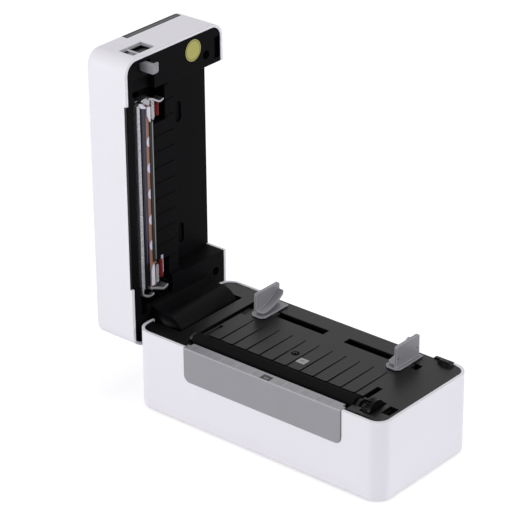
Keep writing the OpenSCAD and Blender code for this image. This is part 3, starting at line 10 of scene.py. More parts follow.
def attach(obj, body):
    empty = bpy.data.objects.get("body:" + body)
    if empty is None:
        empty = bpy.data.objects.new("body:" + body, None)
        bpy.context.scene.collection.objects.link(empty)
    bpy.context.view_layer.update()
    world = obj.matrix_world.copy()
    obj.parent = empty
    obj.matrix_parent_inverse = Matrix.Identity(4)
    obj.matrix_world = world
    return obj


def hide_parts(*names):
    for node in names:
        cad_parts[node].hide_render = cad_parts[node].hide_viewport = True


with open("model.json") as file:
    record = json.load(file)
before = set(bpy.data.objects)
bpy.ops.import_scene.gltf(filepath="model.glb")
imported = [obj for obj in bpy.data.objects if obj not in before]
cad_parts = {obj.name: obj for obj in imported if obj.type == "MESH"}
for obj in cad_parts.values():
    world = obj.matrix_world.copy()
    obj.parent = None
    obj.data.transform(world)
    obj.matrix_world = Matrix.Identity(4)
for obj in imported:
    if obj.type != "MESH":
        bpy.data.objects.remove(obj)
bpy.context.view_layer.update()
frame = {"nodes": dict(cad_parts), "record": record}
nodes = frame["nodes"]
scene = bpy.context.scene
scene.view_settings.view_transform = "Standard"
print("frame loaded:", len(nodes), "nodes")

# One millimetre in metres; lengths below are in mm of the CAD frame unless a note says otherwise
mm = 0.001

# Camera: fitted to the edges of the base and the lid, the frame taken as 524 x 521
cameraSettings = {
    "place": (0.98014, -1.19679, 0.89613),    # metres
    "aim": (-0.035697, 0.003333, 0.1113),     # metres
    "lens": 181.41,
    "sensor": 36.0,
    "roll": 0.523,                            # degrees that the picture leans clockwise
    "farthest": 20.0,                         # metres
}


def aimedAt(place, aim):
    # Place and turn of an object whose -Z axis looks from one point to another, its Y axis up
    turn = (Vector(aim) - Vector(place)).to_track_quat("-Z", "Y")
    return Matrix.Translation(place) @ turn.to_matrix().to_4x4()


def makeCamera(view):
    data = bpy.data.cameras.new("photoCamera")
    data.lens = view["lens"]
    data.sensor_width = view["sensor"]
    data.sensor_fit = "HORIZONTAL"
    data.clip_end = view["farthest"]
    camera = bpy.data.objects.new("photoCamera", data)
    roll = Matrix.Rotation(math.radians(-view["roll"]), 4, "Z")
    camera.matrix_world = aimedAt(view["place"], view["aim"]) @ roll
    scene.collection.objects.link(camera)
    scene.camera = camera


makeCamera(cameraSettings)

# Stage: pale floor that meets a white background, and three wide soft lamps
stageSettings = {
    "floorSize": 6.0,                         # metres
    "floorDrop": 0.0013,                      # metres, just under the feet
    "floorColour": "#ececee",
    "floorLift": 0.50,                        # plain white added where the camera or a reflection sees it
    "roomColour": "#ffffff",
    "roomLevel": 0.36,
}

# Name, place, aim and width in metres, watts, colour
lampSettings = [
    ("softFront", (-0.75, -1.80, 0.60), (0, 0, 0.10), 1.1, 19.2, "#fefdff"),
    ("softSide", (1.85, 0.55, 0.55), (0, 0, 0.10), 1.1, 15.4, "#fdfdff"),
    ("softTop", (0.05, 0.35, 1.90), (0, 0, 0.08), 1.2, 7.0, "#fdfdff"),
]


def linearOf(hexCode):
    # sRGB hex to the linear colour that shaders use
    c = np.array([int(hexCode[i:i + 2], 16) / 255 for i in (1, 3, 5)])
    c = np.where(c <= 0.04045, c / 12.92, ((c + 0.055) / 1.055) ** 2.4)
    return (*c.tolist(), 1.0)


def addNode(tree, kind, settings=None, links=None):
    # One node with its settings (by attribute or socket) and the links that feed it
    node = tree.nodes.new(kind)
    for key, value in (settings or {}).items():
        if isinstance(key, int) or key in node.inputs:
            node.inputs[key].default_value = value
        else:
            setattr(node, key, value)
    for key, source in (links or {}).items():
        tree.links.new(source, node.inputs[key])
    return node


def whiteRays(tree):
    # 1 for camera, glossy and transmission rays, which see the backdrop, 0 for the rays that light the part
    path = addNode(tree, "ShaderNodeLightPath")
    direct = addNode(tree, "ShaderNodeMath", {"operation": "MAXIMUM"},
                     {0: path.outputs["Is Camera Ray"], 1: path.outputs["Is Glossy Ray"]})
    every = addNode(tree, "ShaderNodeMath", {"operation": "MAXIMUM"},
                    {0: direct.outputs[0], 1: path.outputs["Is Transmission Ray"]})
    return every.outputs[0]


def makeFloor(stage):
    # One square under the feet: a matt colour that keeps the shadow, lifted by plain white
    half = stage["floorSize"] / 2
    level = -stage["floorDrop"]
    mesh = bpy.data.meshes.new("floor")
    corners = [(-half, -half, level), (half, -half, level), (half, half, level), (-half, half, level)]
    mesh.from_pydata(corners, [], [(0, 1, 2, 3)])
    floor = bpy.data.objects.new("floor", mesh)
    scene.collection.objects.link(floor)
    mat = bpy.data.materials.new("paleFloor")
    mat.use_nodes = True
    tree = mat.node_tree
    tree.nodes.clear()
    matt = addNode(tree, "ShaderNodeBsdfDiffuse", {"Color": linearOf(stage["floorColour"])})
    lift = addNode(tree, "ShaderNodeMath", {"operation": "MULTIPLY", 1: stage["floorLift"]},
                   {0: whiteRays(tree)})
    white = addNode(tree, "ShaderNodeEmission", {"Color": linearOf("#ffffff")}, {"Strength": lift.outputs[0]})
    lifted = addNode(tree, "ShaderNodeAddShader", None, {0: matt.outputs[0], 1: white.outputs[0]})
    addNode(tree, "ShaderNodeOutputMaterial", None, {"Surface": lifted.outputs[0]})
    mesh.materials.append(mat)


def makeWorld(stage):
    # A dim even room for the light, plain white where it is seen
    world = bpy.data.worlds.new("studio")
    scene.world = world
    world.use_nodes = True
    tree = world.node_tree
    tree.nodes.clear()
    room = addNode(tree, "ShaderNodeBackground",
                   {"Color": linearOf(stage["roomColour"]), "Strength": stage["roomLevel"]})
    white = addNode(tree, "ShaderNodeBackground", {"Color": linearOf("#ffffff"), "Strength": 1.0})
    seen = addNode(tree, "ShaderNodeMixShader", None,
                   {0: whiteRays(tree), 1: room.outputs[0], 2: white.outputs[0]})
    addNode(tree, "ShaderNodeOutputWorld", None, {"Surface": seen.outputs[0]})


def makeLamps(lamps):
    for name, place, aim, width, watts, colour in lamps:
        data = bpy.data.lights.new(name, "AREA")
        data.shape = "DISK"
        data.size = width
        data.energy = watts
        data.color = linearOf(colour)[:3]
        lamp = bpy.data.objects.new(name, data)
        lamp.matrix_world = aimedAt(place, aim)
        scene.collection.objects.link(lamp)


makeFloor(stageSettings)
makeWorld(stageSettings)
makeLamps(lampSettings)
print("stage ready")

# What all plastics and all metals share: size of the clouds of tone in mm, how far the polish varies each
# way, and for the metals the edge rounding in mm
plasticShared = {"cloud": 18.2, "ior": 1.5, "duller": 0.06, "glossier": 0.05}
metalShared = {"edge": 0.2, "duller": 0.08, "glossier": 0.07}


def newMaterial(name):
    # Empty material with its principled shader, object coordinates in metres and output
    mat = bpy.data.materials.new(name)
    mat.use_nodes = True
    tree = mat.node_tree
    tree.nodes.clear()
    place = addNode(tree, "ShaderNodeTexCoord")
    shader = addNode(tree, "ShaderNodeBsdfPrincipled")
    addNode(tree, "ShaderNodeOutputMaterial", None, {"Surface": shader.outputs[0]})
    return mat, tree, place.outputs["Object"], shader


def shade(colour, share):
    # A linear colour made darker or lighter by a share
    return (*(min(1.0, part * share) for part in colour[:3]), 1.0)


def plasticMaterial(name, colour, roughness, grain, grainDepth, mottle, specular, edge):
    # Moulded or painted face: sparks of one grain size in mm as a fine bump, slight clouds in tone and
    # polish, and corners rounded by edge mm
    mat, tree, place, shader = newMaterial(name)
    base = linearOf(colour)
    cloud = addNode(tree, "ShaderNodeTexNoise",
                    {"Scale": 1 / (plasticShared["cloud"] * mm), "Detail": 3.0, "Roughness": 0.55},
                    {"Vector": place})
    tone = addNode(tree, "ShaderNodeMix",
                   {"data_type": "RGBA", 6: shade(base, 1 - mottle), 7: shade(base, 1 + mottle)},
                   {0: cloud.outputs[0]})
    spark = addNode(tree, "ShaderNodeTexNoise",
                    {"Scale": 1 / (grain * mm), "Detail": 2.0, "Roughness": 0.6}, {"Vector": place})
    corner = addNode(tree, "ShaderNodeBevel", {"samples": 4, "Radius": edge * mm})
    bump = addNode(tree, "ShaderNodeBump", {"Strength": 0.35, "Distance": grainDepth * mm},
                   {"Height": spark.outputs[0], "Normal": corner.outputs[0]})
    limits = {"To Min": roughness - plasticShared["glossier"], "To Max": roughness + plasticShared["duller"]}
    polish = addNode(tree, "ShaderNodeMapRange", limits, {"Value": cloud.outputs[0]})
    tree.links.new(tone.outputs[2], shader.inputs["Base Color"])
    tree.links.new(polish.outputs[0], shader.inputs["Roughness"])
    tree.links.new(bump.outputs[0], shader.inputs["Normal"])
    shader.inputs["IOR"].default_value = plasticShared["ior"]
    shader.inputs["Specular IOR Level"].default_value = specular
    return mat


def metalMaterial(name, colour, roughness, marks, markDepth, mottle):
    # Metal: tool marks as a noise whose size in mm is given along x, y and z, with tone and polish that
    # vary with them
    mat, tree, place, shader = newMaterial(name)
    base = linearOf(colour)
    scale = tuple(1 / (size * mm) for size in marks)
    stretch = addNode(tree, "ShaderNodeMapping", {"Scale": scale}, {"Vector": place})
    tool = addNode(tree, "ShaderNodeTexNoise", {"Scale": 1.0, "Detail": 4.0, "Roughness": 0.6},
                   {"Vector": stretch.outputs[0]})
    tone = addNode(tree, "ShaderNodeMix", {"data_type": "RGBA", 6: shade(base, 1 - mottle), 7: base},
                   {0: tool.outputs[0]})
    limits = {"To Min": roughness - metalShared["glossier"], "To Max": roughness + metalShared["duller"]}
    polish = addNode(tree, "ShaderNodeMapRange", limits, {"Value": tool.outputs[0]})
    corner = addNode(tree, "ShaderNodeBevel", {"samples": 4, "Radius": metalShared["edge"] * mm})
    bump = addNode(tree, "ShaderNodeBump", {"Strength": 0.3, "Distance": markDepth * mm},
                   {"Height": tool.outputs[0], "Normal": corner.outputs[0]})
    tree.links.new(tone.outputs[2], shader.inputs["Base Color"])
    tree.links.new(polish.outputs[0], shader.inputs["Roughness"])
    tree.links.new(bump.outputs[0], shader.inputs["Normal"])
    shader.inputs["Metallic"].default_value = 1.0
    return mat


# Moulded, painted and printed finishes, each under a note of what it gives the eye. A key is a slot of the
# record, or camelCase for a finish of this script's own. Grains are drawn at 0.3 mm or more, coarser than
# most real ones, so that they show. In order: name, colour, roughness, grain and its depth in mm, mottle,
# specular level, edge rounding in mm
plastics = {
    # Cool white ABS from a spark-eroded mould: an even satin face with soft corners
    "white_housing": ("sparkTexturedWhiteAbs", "#efedf3", 0.48, 0.45, 0.012, 0.008, 0.4, 0.9),
    # Black ABS with the same texture: dull, with no clear reflection
    "black_cover": ("texturedBlackAbs", "#161618", 0.5, 0.4, 0.02, 0.06, 0.2, 0.3),
    # Smoother black ABS: the deck turns grey where it mirrors the pale room at a low angle
    "black_deck": ("deckBlackAbs", "#09090a", 0.34, 0.4, 0.016, 0.05, 0.22, 0.4),
    # Deep matt black ABS: the liner stays dark from every side
    "black_liner": ("linerBlackAbs", "#0b0b0d", 0.55, 0.4, 0.016, 0.05, 0.03, 0.5),
    # Polished black ABS: the barrel shows one soft streak of light along its round
    "barrelBlack": ("barrelBlackAbs", "#08080a", 0.38, 0.5, 0.008, 0.05, 0.05, 0.8),
    # Satin grey polycarbonate: a broad sheen across the tear plate
    "tear_grey": ("satinGreyPolycarbonate", "#8c8c91", 0.34, 0.5, 0.012, 0.03, 0.85, 0.5),
    # Satin grey acetal on the guides and the latch: waxy and even
    "guide_grey": ("satinGreyAcetal", "#86868b", 0.36, 0.35, 0.008, 0.03, 0.5, 0.4),
    "latch_grey": ("latchGreyAcetal", "#8b8b90", 0.38, 0.35, 0.008, 0.03, 0.5, 0.5),
    # The finger tab's acetal in two copies: painted shade on its plate, which lies in the window's shade, and
    # painted light on its rib
    "tabPaintedShade": ("latchAcetalPaintedShade", "#4e4e52", 0.4, 0.35, 0.008, 0.03, 0.3, 0.3),
    "ribPaintedLight": ("latchAcetalPaintedLight", "#c8c8cc", 0.4, 0.35, 0.008, 0.03, 0.3, 0.3),
    # Black ABS dish under the fingertip, coloured grey as painted light where light falls in, with painted
    # shade at its deep end
    "dishPaintedLightShade": ("latchDishAbsPaintedLightShade", "#3e3e42", 0.45, 0.4, 0.012, 0.05, 0.2, 0.3),
    # Moulded rubber: dull and slightly dusty
    "foot_rubber": ("mouldedFootRubber", "#1c1c1d", 0.8, 0.5, 0.02, 0.08, 0.3, 0.3),
    # Ground silicone rubber: dead matt
    "roller_rubber": ("groundSiliconeRubber", "#171718", 0.85, 0.3, 0.012, 0.05, 0.03, 0.3),
    # Bearing nylon: matt black rings at the roller's ends
    "bushing_black": ("blackBearingNylon", "#0b0b0c", 0.6, 0.4, 0.012, 0.05, 0.05, 0.3),
    # Black acetal gear: small sharp lights on the tips of its teeth
    "gear_dark": ("mouldedBlackAcetal", "#0b0b0c", 0.3, 0.4, 0.01, 0.05, 0.08, 0.4),
    # Natural acetal: creamy white
    "gear_pale": ("naturalAcetal", "#e3e0d6", 0.36, 0.4, 0.01, 0.03, 0.5, 0.3),
    # Black acetal racks: waxy dark bars
    "rack_dark": ("rackBlackAcetal", "#161618", 0.38, 0.4, 0.012, 0.05, 0.4, 0.3),
    # Powder coat and lacquer on the frames and the motor: slightly pebbled dark paint
    "frame_black": ("blackPowderCoat", "#1c1c1e", 0.5, 0.6, 0.03, 0.06, 0.4, 0.3),
    "frame_steel": ("darkFrameLacquer", "#19191b", 0.5, 0.6, 0.02, 0.06, 0.12, 0.3),
    "motor_case": ("blackMotorLacquer", "#2a2a2c", 0.35, 0.8, 0.02, 0.05, 0.5, 0.3),
    # Solder mask: glossy green
    "board_green": ("greenSolderMask", "#1f5a34", 0.3, 0.6, 0.01, 0.08, 0.5, 0.3),
    # Moulded nylon sockets: charcoal, half matt
    "parts_black": ("mouldedBlackNylon", "#1b1b1d", 0.45, 0.4, 0.015, 0.05, 0.5, 0.3),
    # The sensor's eye: a matt black that swallows the light
    "eyeBlack": ("eyeBlackNylon", "#08080a", 0.8, 0.4, 0.012, 0.05, 0.02, 0.3),
    # Polished nylon rocker: saturated red with a clear highlight
    "rocker_red": ("polishedRedNylon", "#b3262a", 0.3, 0.5, 0.008, 0.04, 0.5, 0.3),
    # Sensor window: pale grey and glossy
    "window_pale": ("paleSensorWindow", "#98989b", 0.25, 0.5, 0.004, 0.03, 0.5, 0.3),
    # Coated vinyl disc: flat olive yellow
    "sticker_yellow": ("coatedVinylDisc", "#aeaa54", 0.35, 0.5, 0.005, 0.04, 0.5, 0.05),
    # Smoked polycarbonate: a dark grey panel with a weak reflection
    "panel_dark": ("smokedPolycarbonate", "#3d3d42", 0.4, 0.4, 0.006, 0.03, 0.15, 0.3),
    # Clear lens: a pale blue dot with a sharp highlight
    "light_lens": ("clearLightLens", "#bcd8ec", 0.2, 0.5, 0.004, 0.02, 0.5, 0.3),
    # Satin button: mid grey, a little lighter than its panel
    "button_grey": ("satinGreyButton", "#6a6a71", 0.35, 0.4, 0.006, 0.03, 0.5, 0.3),
    # Glazed alumina: glassy, near black with a violet cast
    "head_glaze": ("glazedAlumina", "#211e34", 0.16, 0.8, 0.003, 0.06, 0.3, 0.15),
    # Epoxy cover over the drivers: smooth black
    "head_epoxy": ("blackHeadCover", "#111113", 0.35, 0.5, 0.01, 0.05, 0.3, 0.15),
    # White nylon and bare ceramic at the head's ends: cold white
    "connector_white": ("mouldedWhiteNylon", "#dfdcea", 0.42, 0.4, 0.01, 0.03, 0.5, 0.3),
    # PVC lead insulation: dark red, and a pale second layer
    "lead_red": ("redLeadPvc", "#7a1811", 0.4, 0.5, 0.008, 0.06, 0.2, 0.1),
    "leadPale": ("paleLeadPvc", "#c3c6e0", 0.4, 0.5, 0.008, 0.05, 0.5, 0.1),
}

# Bare and plated metals in the same form. In order: name, colour, roughness, size of the tool marks along
# x, y and z in mm, their depth in mm, mottle
metals = {
    # Ground steel: fine rings round the shaft, bright
    "shaft_steel": ("groundShaftSteel", "#c9cacd", 0.28, (0.0625, 2.5, 2.5), 0.004, 0.05),
    # Black oxide on the roller's shaft: dark, with a thin line of light
    "shaftDark": ("blackOxideSteel", "#232326", 0.36, (0.0625, 2.5, 2.5), 0.004, 0.05),
    # Zinc plate: even, slightly cloudy grey
    "screw_steel": ("zincPlatedSteel", "#b9babf", 0.34, (0.333, 0.333, 0.333), 0.004, 0.05),
    # Drawn wire: bright and smooth
    "spring_steel": ("drawnSpringSteel", "#c6c7cb", 0.3, (0.25, 0.25, 0.25), 0.004, 0.05),
    # Hobbed brass: warm, finely scored along its teeth
    "pinion_brass": ("hobbedBrass", "#c9a55a", 0.3, (1.25, 0.125, 0.125), 0.004, 0.05),
    # Nickel plate on the socket and the head's hooks: clean and pale
    "socket_plated": ("nickelPlatedShell", "#c5c5c8", 0.24, (0.333, 0.333, 0.333), 0.004, 0.05),
    "head_plated": ("nickelPlatedSteel", "#cccccf", 0.4, (0.333, 0.333, 0.333), 0.002, 0.03),
    # Tinned pins: soft white metal
    "contact_tin": ("tinnedContacts", "#d8d8dc", 0.34, (0.333, 0.333, 0.333), 0.004, 0.05),
    # Brushed steel rail on the head's cover: grey, with fine streaks across it
    "railSteel": ("brushedRailSteel", "#8d8d90", 0.4, (1.667, 1.667, 0.111), 0.004, 0.05),
}

finishes = {slot: plasticMaterial(*row) for slot, row in plastics.items()}
finishes.update({slot: metalMaterial(*row) for slot, row in metals.items()})

# Casting: blasted aluminium, which gives the eye a bright sandy grey. The grit is drawn coarser than the
# real one so that it shows
castSettings = {
    "dark": "#77777c", "light": "#d9d9dc", "spread": (0.36, 0.66), "grit": 0.8, "pitDepth": 0.12,
    "metallic": 0.75, "roughness": 0.52,
}


def castMaterial(cast):
    # Grit pits as one noise, spread between a dark and a light grey and pressed in as a bump
    mat, tree, place, shader = newMaterial("blastedAluminiumCasting")
    pits = addNode(tree, "ShaderNodeTexNoise",
                   {"Scale": 1 / (cast["grit"] * mm), "Detail": 5.0, "Roughness": 0.75}, {"Vector": place})
    low, high = cast["spread"]
    spread = addNode(tree, "ShaderNodeMapRange", {"From Min": low, "From Max": high},
                     {"Value": pits.outputs[0]})
    tone = addNode(tree, "ShaderNodeMix",
                   {"data_type": "RGBA", 6: linearOf(cast["dark"]), 7: linearOf(cast["light"])},
                   {0: spread.outputs[0]})
    bump = addNode(tree, "ShaderNodeBump", {"Strength": 0.8, "Distance": cast["pitDepth"] * mm},
                   {"Height": pits.outputs[0]})
    tree.links.new(tone.outputs[2], shader.inputs["Base Color"])
    tree.links.new(bump.outputs[0], shader.inputs["Normal"])
    shader.inputs["Metallic"].default_value = cast["metallic"]
    shader.inputs["Roughness"].default_value = cast["roughness"]
    return mat


def paint(mat, mask, colour, roughness=None):
    # Lays a second colour over a finished material where the mask is 1
    tree = mat.node_tree
    shader = next(node for node in tree.nodes if node.type == "BSDF_PRINCIPLED")
    under = shader.inputs["Base Color"].links[0].from_socket
    over = addNode(tree, "ShaderNodeMix", {"data_type": "RGBA", 7: linearOf(colour)}, {0: mask, 6: under})
    tree.links.new(over.outputs[2], shader.inputs["Base Color"])
    if roughness is not None:
        before = shader.inputs["Roughness"].links[0].from_socket
        blend = addNode(tree, "ShaderNodeMix", {"data_type": "FLOAT", 3: roughness}, {0: mask, 2: before})
        tree.links.new(blend.outputs[0], shader.inputs["Roughness"])


def axesOf(mat):
    # The x, y and z of the material's object coordinates, in metres
    tree = mat.node_tree
    place = next(node for node in tree.nodes if node.type == "TEX_COORD").outputs["Object"]
    return addNode(tree, "ShaderNodeSeparateXYZ", None, {0: place}).outputs


def boxMask(mat, low, high, soft=0.05):
    # 1 inside a box (None leaves a side open), the product of one soft step at each side
    tree = mat.node_tree
    axes = axesOf(mat)
    mask = None
    for axis in range(3):
        for edge, sign in ((low[axis], 1), (high[axis], -1)):
            if edge is None:
                continue
            limits = {"From Min": (edge - sign * soft) * mm, "From Max": (edge + sign * soft) * mm}
            step = addNode(tree, "ShaderNodeMapRange", limits, {"Value": axes[axis]}).outputs[0]
            if mask is None:
                mask = step
                continue
            mask = addNode(tree, "ShaderNodeMath", {"operation": "MULTIPLY"}, {0: mask, 1: step}).outputs[0]
    return mask


def nearestRepeat(mat, axis, first, pitch):
    # Coordinate along an axis, folded into the one pitch round the first of a row of marks
    limits = {"operation": "WRAP", 1: (first + pitch / 2) * mm, 2: (first - pitch / 2) * mm}
    return addNode(mat.node_tree, "ShaderNodeMath", limits, {0: axesOf(mat)[axis]}).outputs[0]


# Head film: copper tracks on a tinted film, so thin bright lines on a warm brown, drawn much coarser than
# real so that they show, and half-moon solder pads along the cover's edge. Pads: place of the first along
# z, pitch, half length and reach over the film
filmSettings = {
    "film": ("copperTrackedFilm", "#8f6450", 0.36, 0.6, 0.006, 0.12, 0.4, 0.1),
    "track": "#b98a72",
    "trackPitch": 1.3,
    "trackRise": (-0.2, 0.9),
    "trackShare": 0.55,
    "pad": "#dcd8ec",
    "padRoughness": 0.3,
    "padSoft": 0.1,
    "first": 110.7,
    "pitch": 19.05,
    "half": 3.7,
    "reach": 2.6,
    "edge": -24.3,
    "ends": (104.0, 195.0),
}


def filmMaterial(film):
    mat = plasticMaterial(*film["film"])
    tree = mat.node_tree
    y, z = axesOf(mat)[1:]
    # Tracks: a sine wave along the film, which rises to their colour between two of its levels
    turn = addNode(tree, "ShaderNodeMath",
                   {"operation": "MULTIPLY", 1: 2 * math.pi / (film["trackPitch"] * mm)}, {0: z})
    wave = addNode(tree, "ShaderNodeMath", {"operation": "SINE"}, {0: turn.outputs[0]})
    low, high = film["trackRise"]
    track = addNode(tree, "ShaderNodeMapRange",
                    {"From Min": low, "From Max": high, "To Max": film["trackShare"]},
                    {"Value": wave.outputs[0]})
    paint(mat, track.outputs[0], film["track"])
    # Pads: inside the ellipse round the nearest pad's middle on the cover's edge, where the squares of the
    # two distances, as shares of its half length and its reach, add up to less than 1
    along = nearestRepeat(mat, 2, film["first"], film["pitch"])
    squares = []
    for source, middle, size in ((along, film["first"], film["half"]), (y, film["edge"], film["reach"])):
        limits = {"clamp": False, "From Min": middle * mm, "From Max": (middle + size) * mm}
        share = addNode(tree, "ShaderNodeMapRange", limits, {"Value": source}).outputs[0]
        square = addNode(tree, "ShaderNodeMath", {"operation": "MULTIPLY"}, {0: share, 1: share})
        squares.append(square.outputs[0])
    far = addNode(tree, "ShaderNodeMath", {"operation": "ADD"}, {0: squares[0], 1: squares[1]})
    inside = addNode(tree, "ShaderNodeMapRange",
                     {"From Min": 1 + film["padSoft"], "From Max": 1 - film["padSoft"]},
                     {"Value": far.outputs[0]})
    low, high = film["ends"]
    row = boxMask(mat, (None, None, low), (None, None, high))
    pad = addNode(tree, "ShaderNodeMath", {"operation": "MULTIPLY"}, {0: inside.outputs[0], 1: row})
    paint(mat, pad.outputs[0], film["pad"], film["padRoughness"])
    return mat


finishes["head_aluminium"] = castMaterial(castSettings)
finishes["head_copper"] = filmMaterial(filmSettings)
print("materials ready:", len(finishes))


def dressNodes():
    # Each CAD node gets the finish of its own slot, and the roller's shaft its black oxide
    slotOf = {part["node"]: part["material_slot"] for part in frame["record"]["subparts"]}
    slotOf["platen_shaft"] = "shaftDark"
    for name, obj in nodes.items():
        obj.data.materials.clear()
        obj.data.materials.append(finishes[slotOf[name]])


dressNodes()
print("finishes on", len(nodes), "nodes")


def closedRings(rows, sides):
    # Faces of a tube: quads between neighbouring rings, all the way round, and a flat face at each end
    r, c = np.meshgrid(np.arange(rows - 1), np.arange(sides), indexing="ij")
    n = (c + 1) % sides
    quads = np.stack([r * sides + c, r * sides + n, (r + 1) * sides + n, (r + 1) * sides + c], -1)
    last = (rows - 1) * sides
    ends = [list(range(sides)), list(range(last, last + sides))[::-1]]
    return quads.reshape(-1, 4).tolist() + ends


def smoothPath(points, count):
    # Curve through the points: each span is the cubic whose end slopes are half the chord of its neighbours
    p = np.asarray(points, float)
    e = np.vstack([2 * p[0] - p[1], p, 2 * p[-1] - p[-2]])
    t = np.linspace(0, len(p) - 1, count)
    k = np.minimum(t.astype(int), len(p) - 2)
    u = (t - k)[:, None]
    a, b, c, d = e[k], e[k + 1], e[k + 2], e[k + 3]
    bend = (2 * a - 5 * b + 4 * c - d) * u ** 2 + (3 * b - a - 3 * c + d) * u ** 3
    return 0.5 * (2 * b + (c - a) * u + bend)


def prism(outline, low, high, axis):
    # Outline in the two other axes, in x, y, z order, carried straight along an axis: sides and two ends
    points = np.asarray(outline, float)
    count = len(points)
    ends = [np.insert(points, axis, level, axis=1) for level in (low, high)]
    k = np.arange(count)
    sides = np.stack([k, (k + 1) % count, (k + 1) % count + count, k + count], 1).tolist()
    return np.vstack(ends), sides + [k.tolist(), (k + count)[::-1].tolist()]


def block(x, y, z):
    # Upright box between its low and high x, y and z
    return prism([(x[0], y[0]), (x[1], y[0]), (x[1], y[1]), (x[0], y[1])], *z, 2)


def normalsOf(line):
    # Unit normals of a flat line: its slope turned a quarter
    slope = np.gradient(line, axis=0)
    return np.stack([-slope[:, 1], slope[:, 0]], 1) / np.linalg.norm(slope, axis=1, keepdims=True)


def strip(line, thickness):
    # Closed outline of a strip: the line moved half its thickness to each side along its normal
    half = normalsOf(line) * thickness / 2
    return np.vstack([line + half, (line - half)[::-1]])


def tubes(line, radius, sides, shifts):
    # Round wires along a line in the x-y plane, one for each shift: a point of each ring lies a radius from
    # the line, at an angle between the line's normal and z
    path = np.insert(line, 2, 0.0, axis=1)
    normal = np.insert(normalsOf(line), 2, 0.0, axis=1)
    angle = np.linspace(0, 2 * math.pi, sides, endpoint=False)[None, :, None]
    ring = normal[:, None] * np.cos(angle) + np.array([0, 0, 1.0]) * np.sin(angle)
    points = (path[:, None] + radius * ring).reshape(-1, 3)
    faces = closedRings(len(path), sides)
    return joined([(points + shift, faces) for shift in shifts])


def turned(profile, centre, sides):
    # Profile of radius and height turned round an upright axis, its ends closed by flat faces
    line = np.asarray(profile)
    angle = np.linspace(0, 2 * math.pi, sides, endpoint=False)
    x = line[:, :1] * np.cos(angle) + centre[0]
    y = line[:, :1] * np.sin(angle) + centre[1]
    z = np.repeat(line[:, 1:], sides, 1)
    return np.stack([x, y, z], -1).reshape(-1, 3), closedRings(len(line), sides)


def joined(parts):
    # Several point and face lists as one
    points, faces, start = [], [], 0
    for partPoints, partFaces in parts:
        points.append(partPoints)
        faces += [[i + start for i in face] for face in partFaces]
        start += len(partPoints)
    return np.vstack(points), faces


def finishMesh(obj, bevel, segments, angle):
    # Doubles merged, faces outward, rounded edges and smooth shading up to an angle in degrees
    merge = 0.002
    work = bmesh.new()
    work.from_mesh(obj.data)
    bmesh.ops.remove_doubles(work, verts=work.verts, dist=merge * mm)
    bmesh.ops.recalc_face_normals(work, faces=work.faces)
    work.to_mesh(obj.data)
    work.free()
    if bevel:
        edge = obj.modifiers.new("softEdge", "BEVEL")
        edge.width = bevel * mm
        edge.segments = segments
        edge.limit_method = "ANGLE"
        edge.angle_limit = math.radians(angle)
        edge.harden_normals = True
    obj.data.shade_smooth()
    obj.data.set_sharp_from_angle(angle=math.radians(angle))


def makePiece(name, shape, finish, body, slot, standsFor=None, bevel=0.0, segments=2, angle=35):
    # New piece from points in mm and their faces, on its body, in place of a CAD node where one is named
    points, faces = shape
    mesh = bpy.data.meshes.new(name)
    mesh.from_pydata((np.asarray(points) * mm).tolist(), [], faces)
    obj = bpy.data.objects.new(name, mesh)
    scene.collection.objects.link(obj)
    finishMesh(obj, bevel, segments, angle)
    mesh.materials.append(finishes[finish])
    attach(obj, body)
    if standsFor:
        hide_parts(standsFor)


def makeHeadPiece(name, shape, slot, standsFor=None, finish=None, **edges):
    # Piece of the print head, in the finish of its own slot unless another is named
    makePiece(name, shape, finish or slot, "printhead", slot, standsFor, **edges)


# Print head: casting with its rounded edge, glazed ceramic, tracked film, cover with its steel rail. Low,
# high, side and back are y, top and deep are x, and ends are z, as the lid stands open
headSettings = {
    "ends": (80.2, 217.0), "bareLength": 4.0,
    "castEnd": 215.4, "castSide": -35.2, "castBack": -20.8, "castDeep": -116.9, "castTop": -109.0,
    "castRound": 1.0, "castSteps": 9, "castLip": 0.8, "glueGap": 0.05,
    "glassLow": -31.7, "glassHigh": -27.6, "glassTop": -108.5, "glassDeep": -110.2, "glassSteps": 25,
    "heaterPlace": -30.4, "heaterHalf": 0.45, "heaterRise": 0.14,
    "filmTop": -108.95, "filmHigh": -20.9, "filmGap": 0.02,
    "coverLow": -24.5, "coverHigh": -21.0, "coverTop": -108.1, "coverChamfer": 0.3,
    "coverEnds": (98.0, 201.5),
    "railSides": (-22.6, -21.8), "railTop": -107.8, "railInset": (1.5, 1.0), "seat": 0.01,
}


def makeCasting(head):
    # Profile: a quarter circle on the outer edge, and a shelf that the ceramic lies on
    arc = np.linspace(math.pi, math.pi / 2, head["castSteps"])
    r = head["castRound"]
    rim = np.stack([head["castTop"] - r + r * np.sin(arc), head["castSide"] + r + r * np.cos(arc)], 1)
    lip = head["glassLow"] - head["castLip"]
    shelf = head["glassDeep"] - head["glueGap"]
    outline = np.vstack([[(head["castDeep"], head["castSide"])], rim,
                         [(head["castTop"], lip), (shelf, lip), (shelf, head["castBack"]),
                          (head["castDeep"], head["castBack"])]])
    makeHeadPiece("headCasting", prism(outline, head["ends"][0], head["castEnd"], 2), "head_aluminium",
                  "head_sink", bevel=0.35, angle=60)


def makeCeramic(head):
    # Profile: flat glass with the heater's bead on it, which falls off as a bell curve
    y = np.linspace(head["glassLow"], head["glassHigh"], head["glassSteps"])
    bell = np.exp(-((y - head["heaterPlace"]) / head["heaterHalf"]) ** 2)
    x = head["glassTop"] - head["heaterRise"] + head["heaterRise"] * bell
    foot = [(head["glassDeep"], head["glassHigh"]), (head["glassDeep"], head["glassLow"])]
    outline = np.vstack([np.stack([x, y], 1), foot])
    low, high = head["ends"]
    glass = prism(outline, low, high - head["bareLength"], 2)
    makeHeadPiece("glazedStrip", glass, "head_glaze", "head_ceramic")


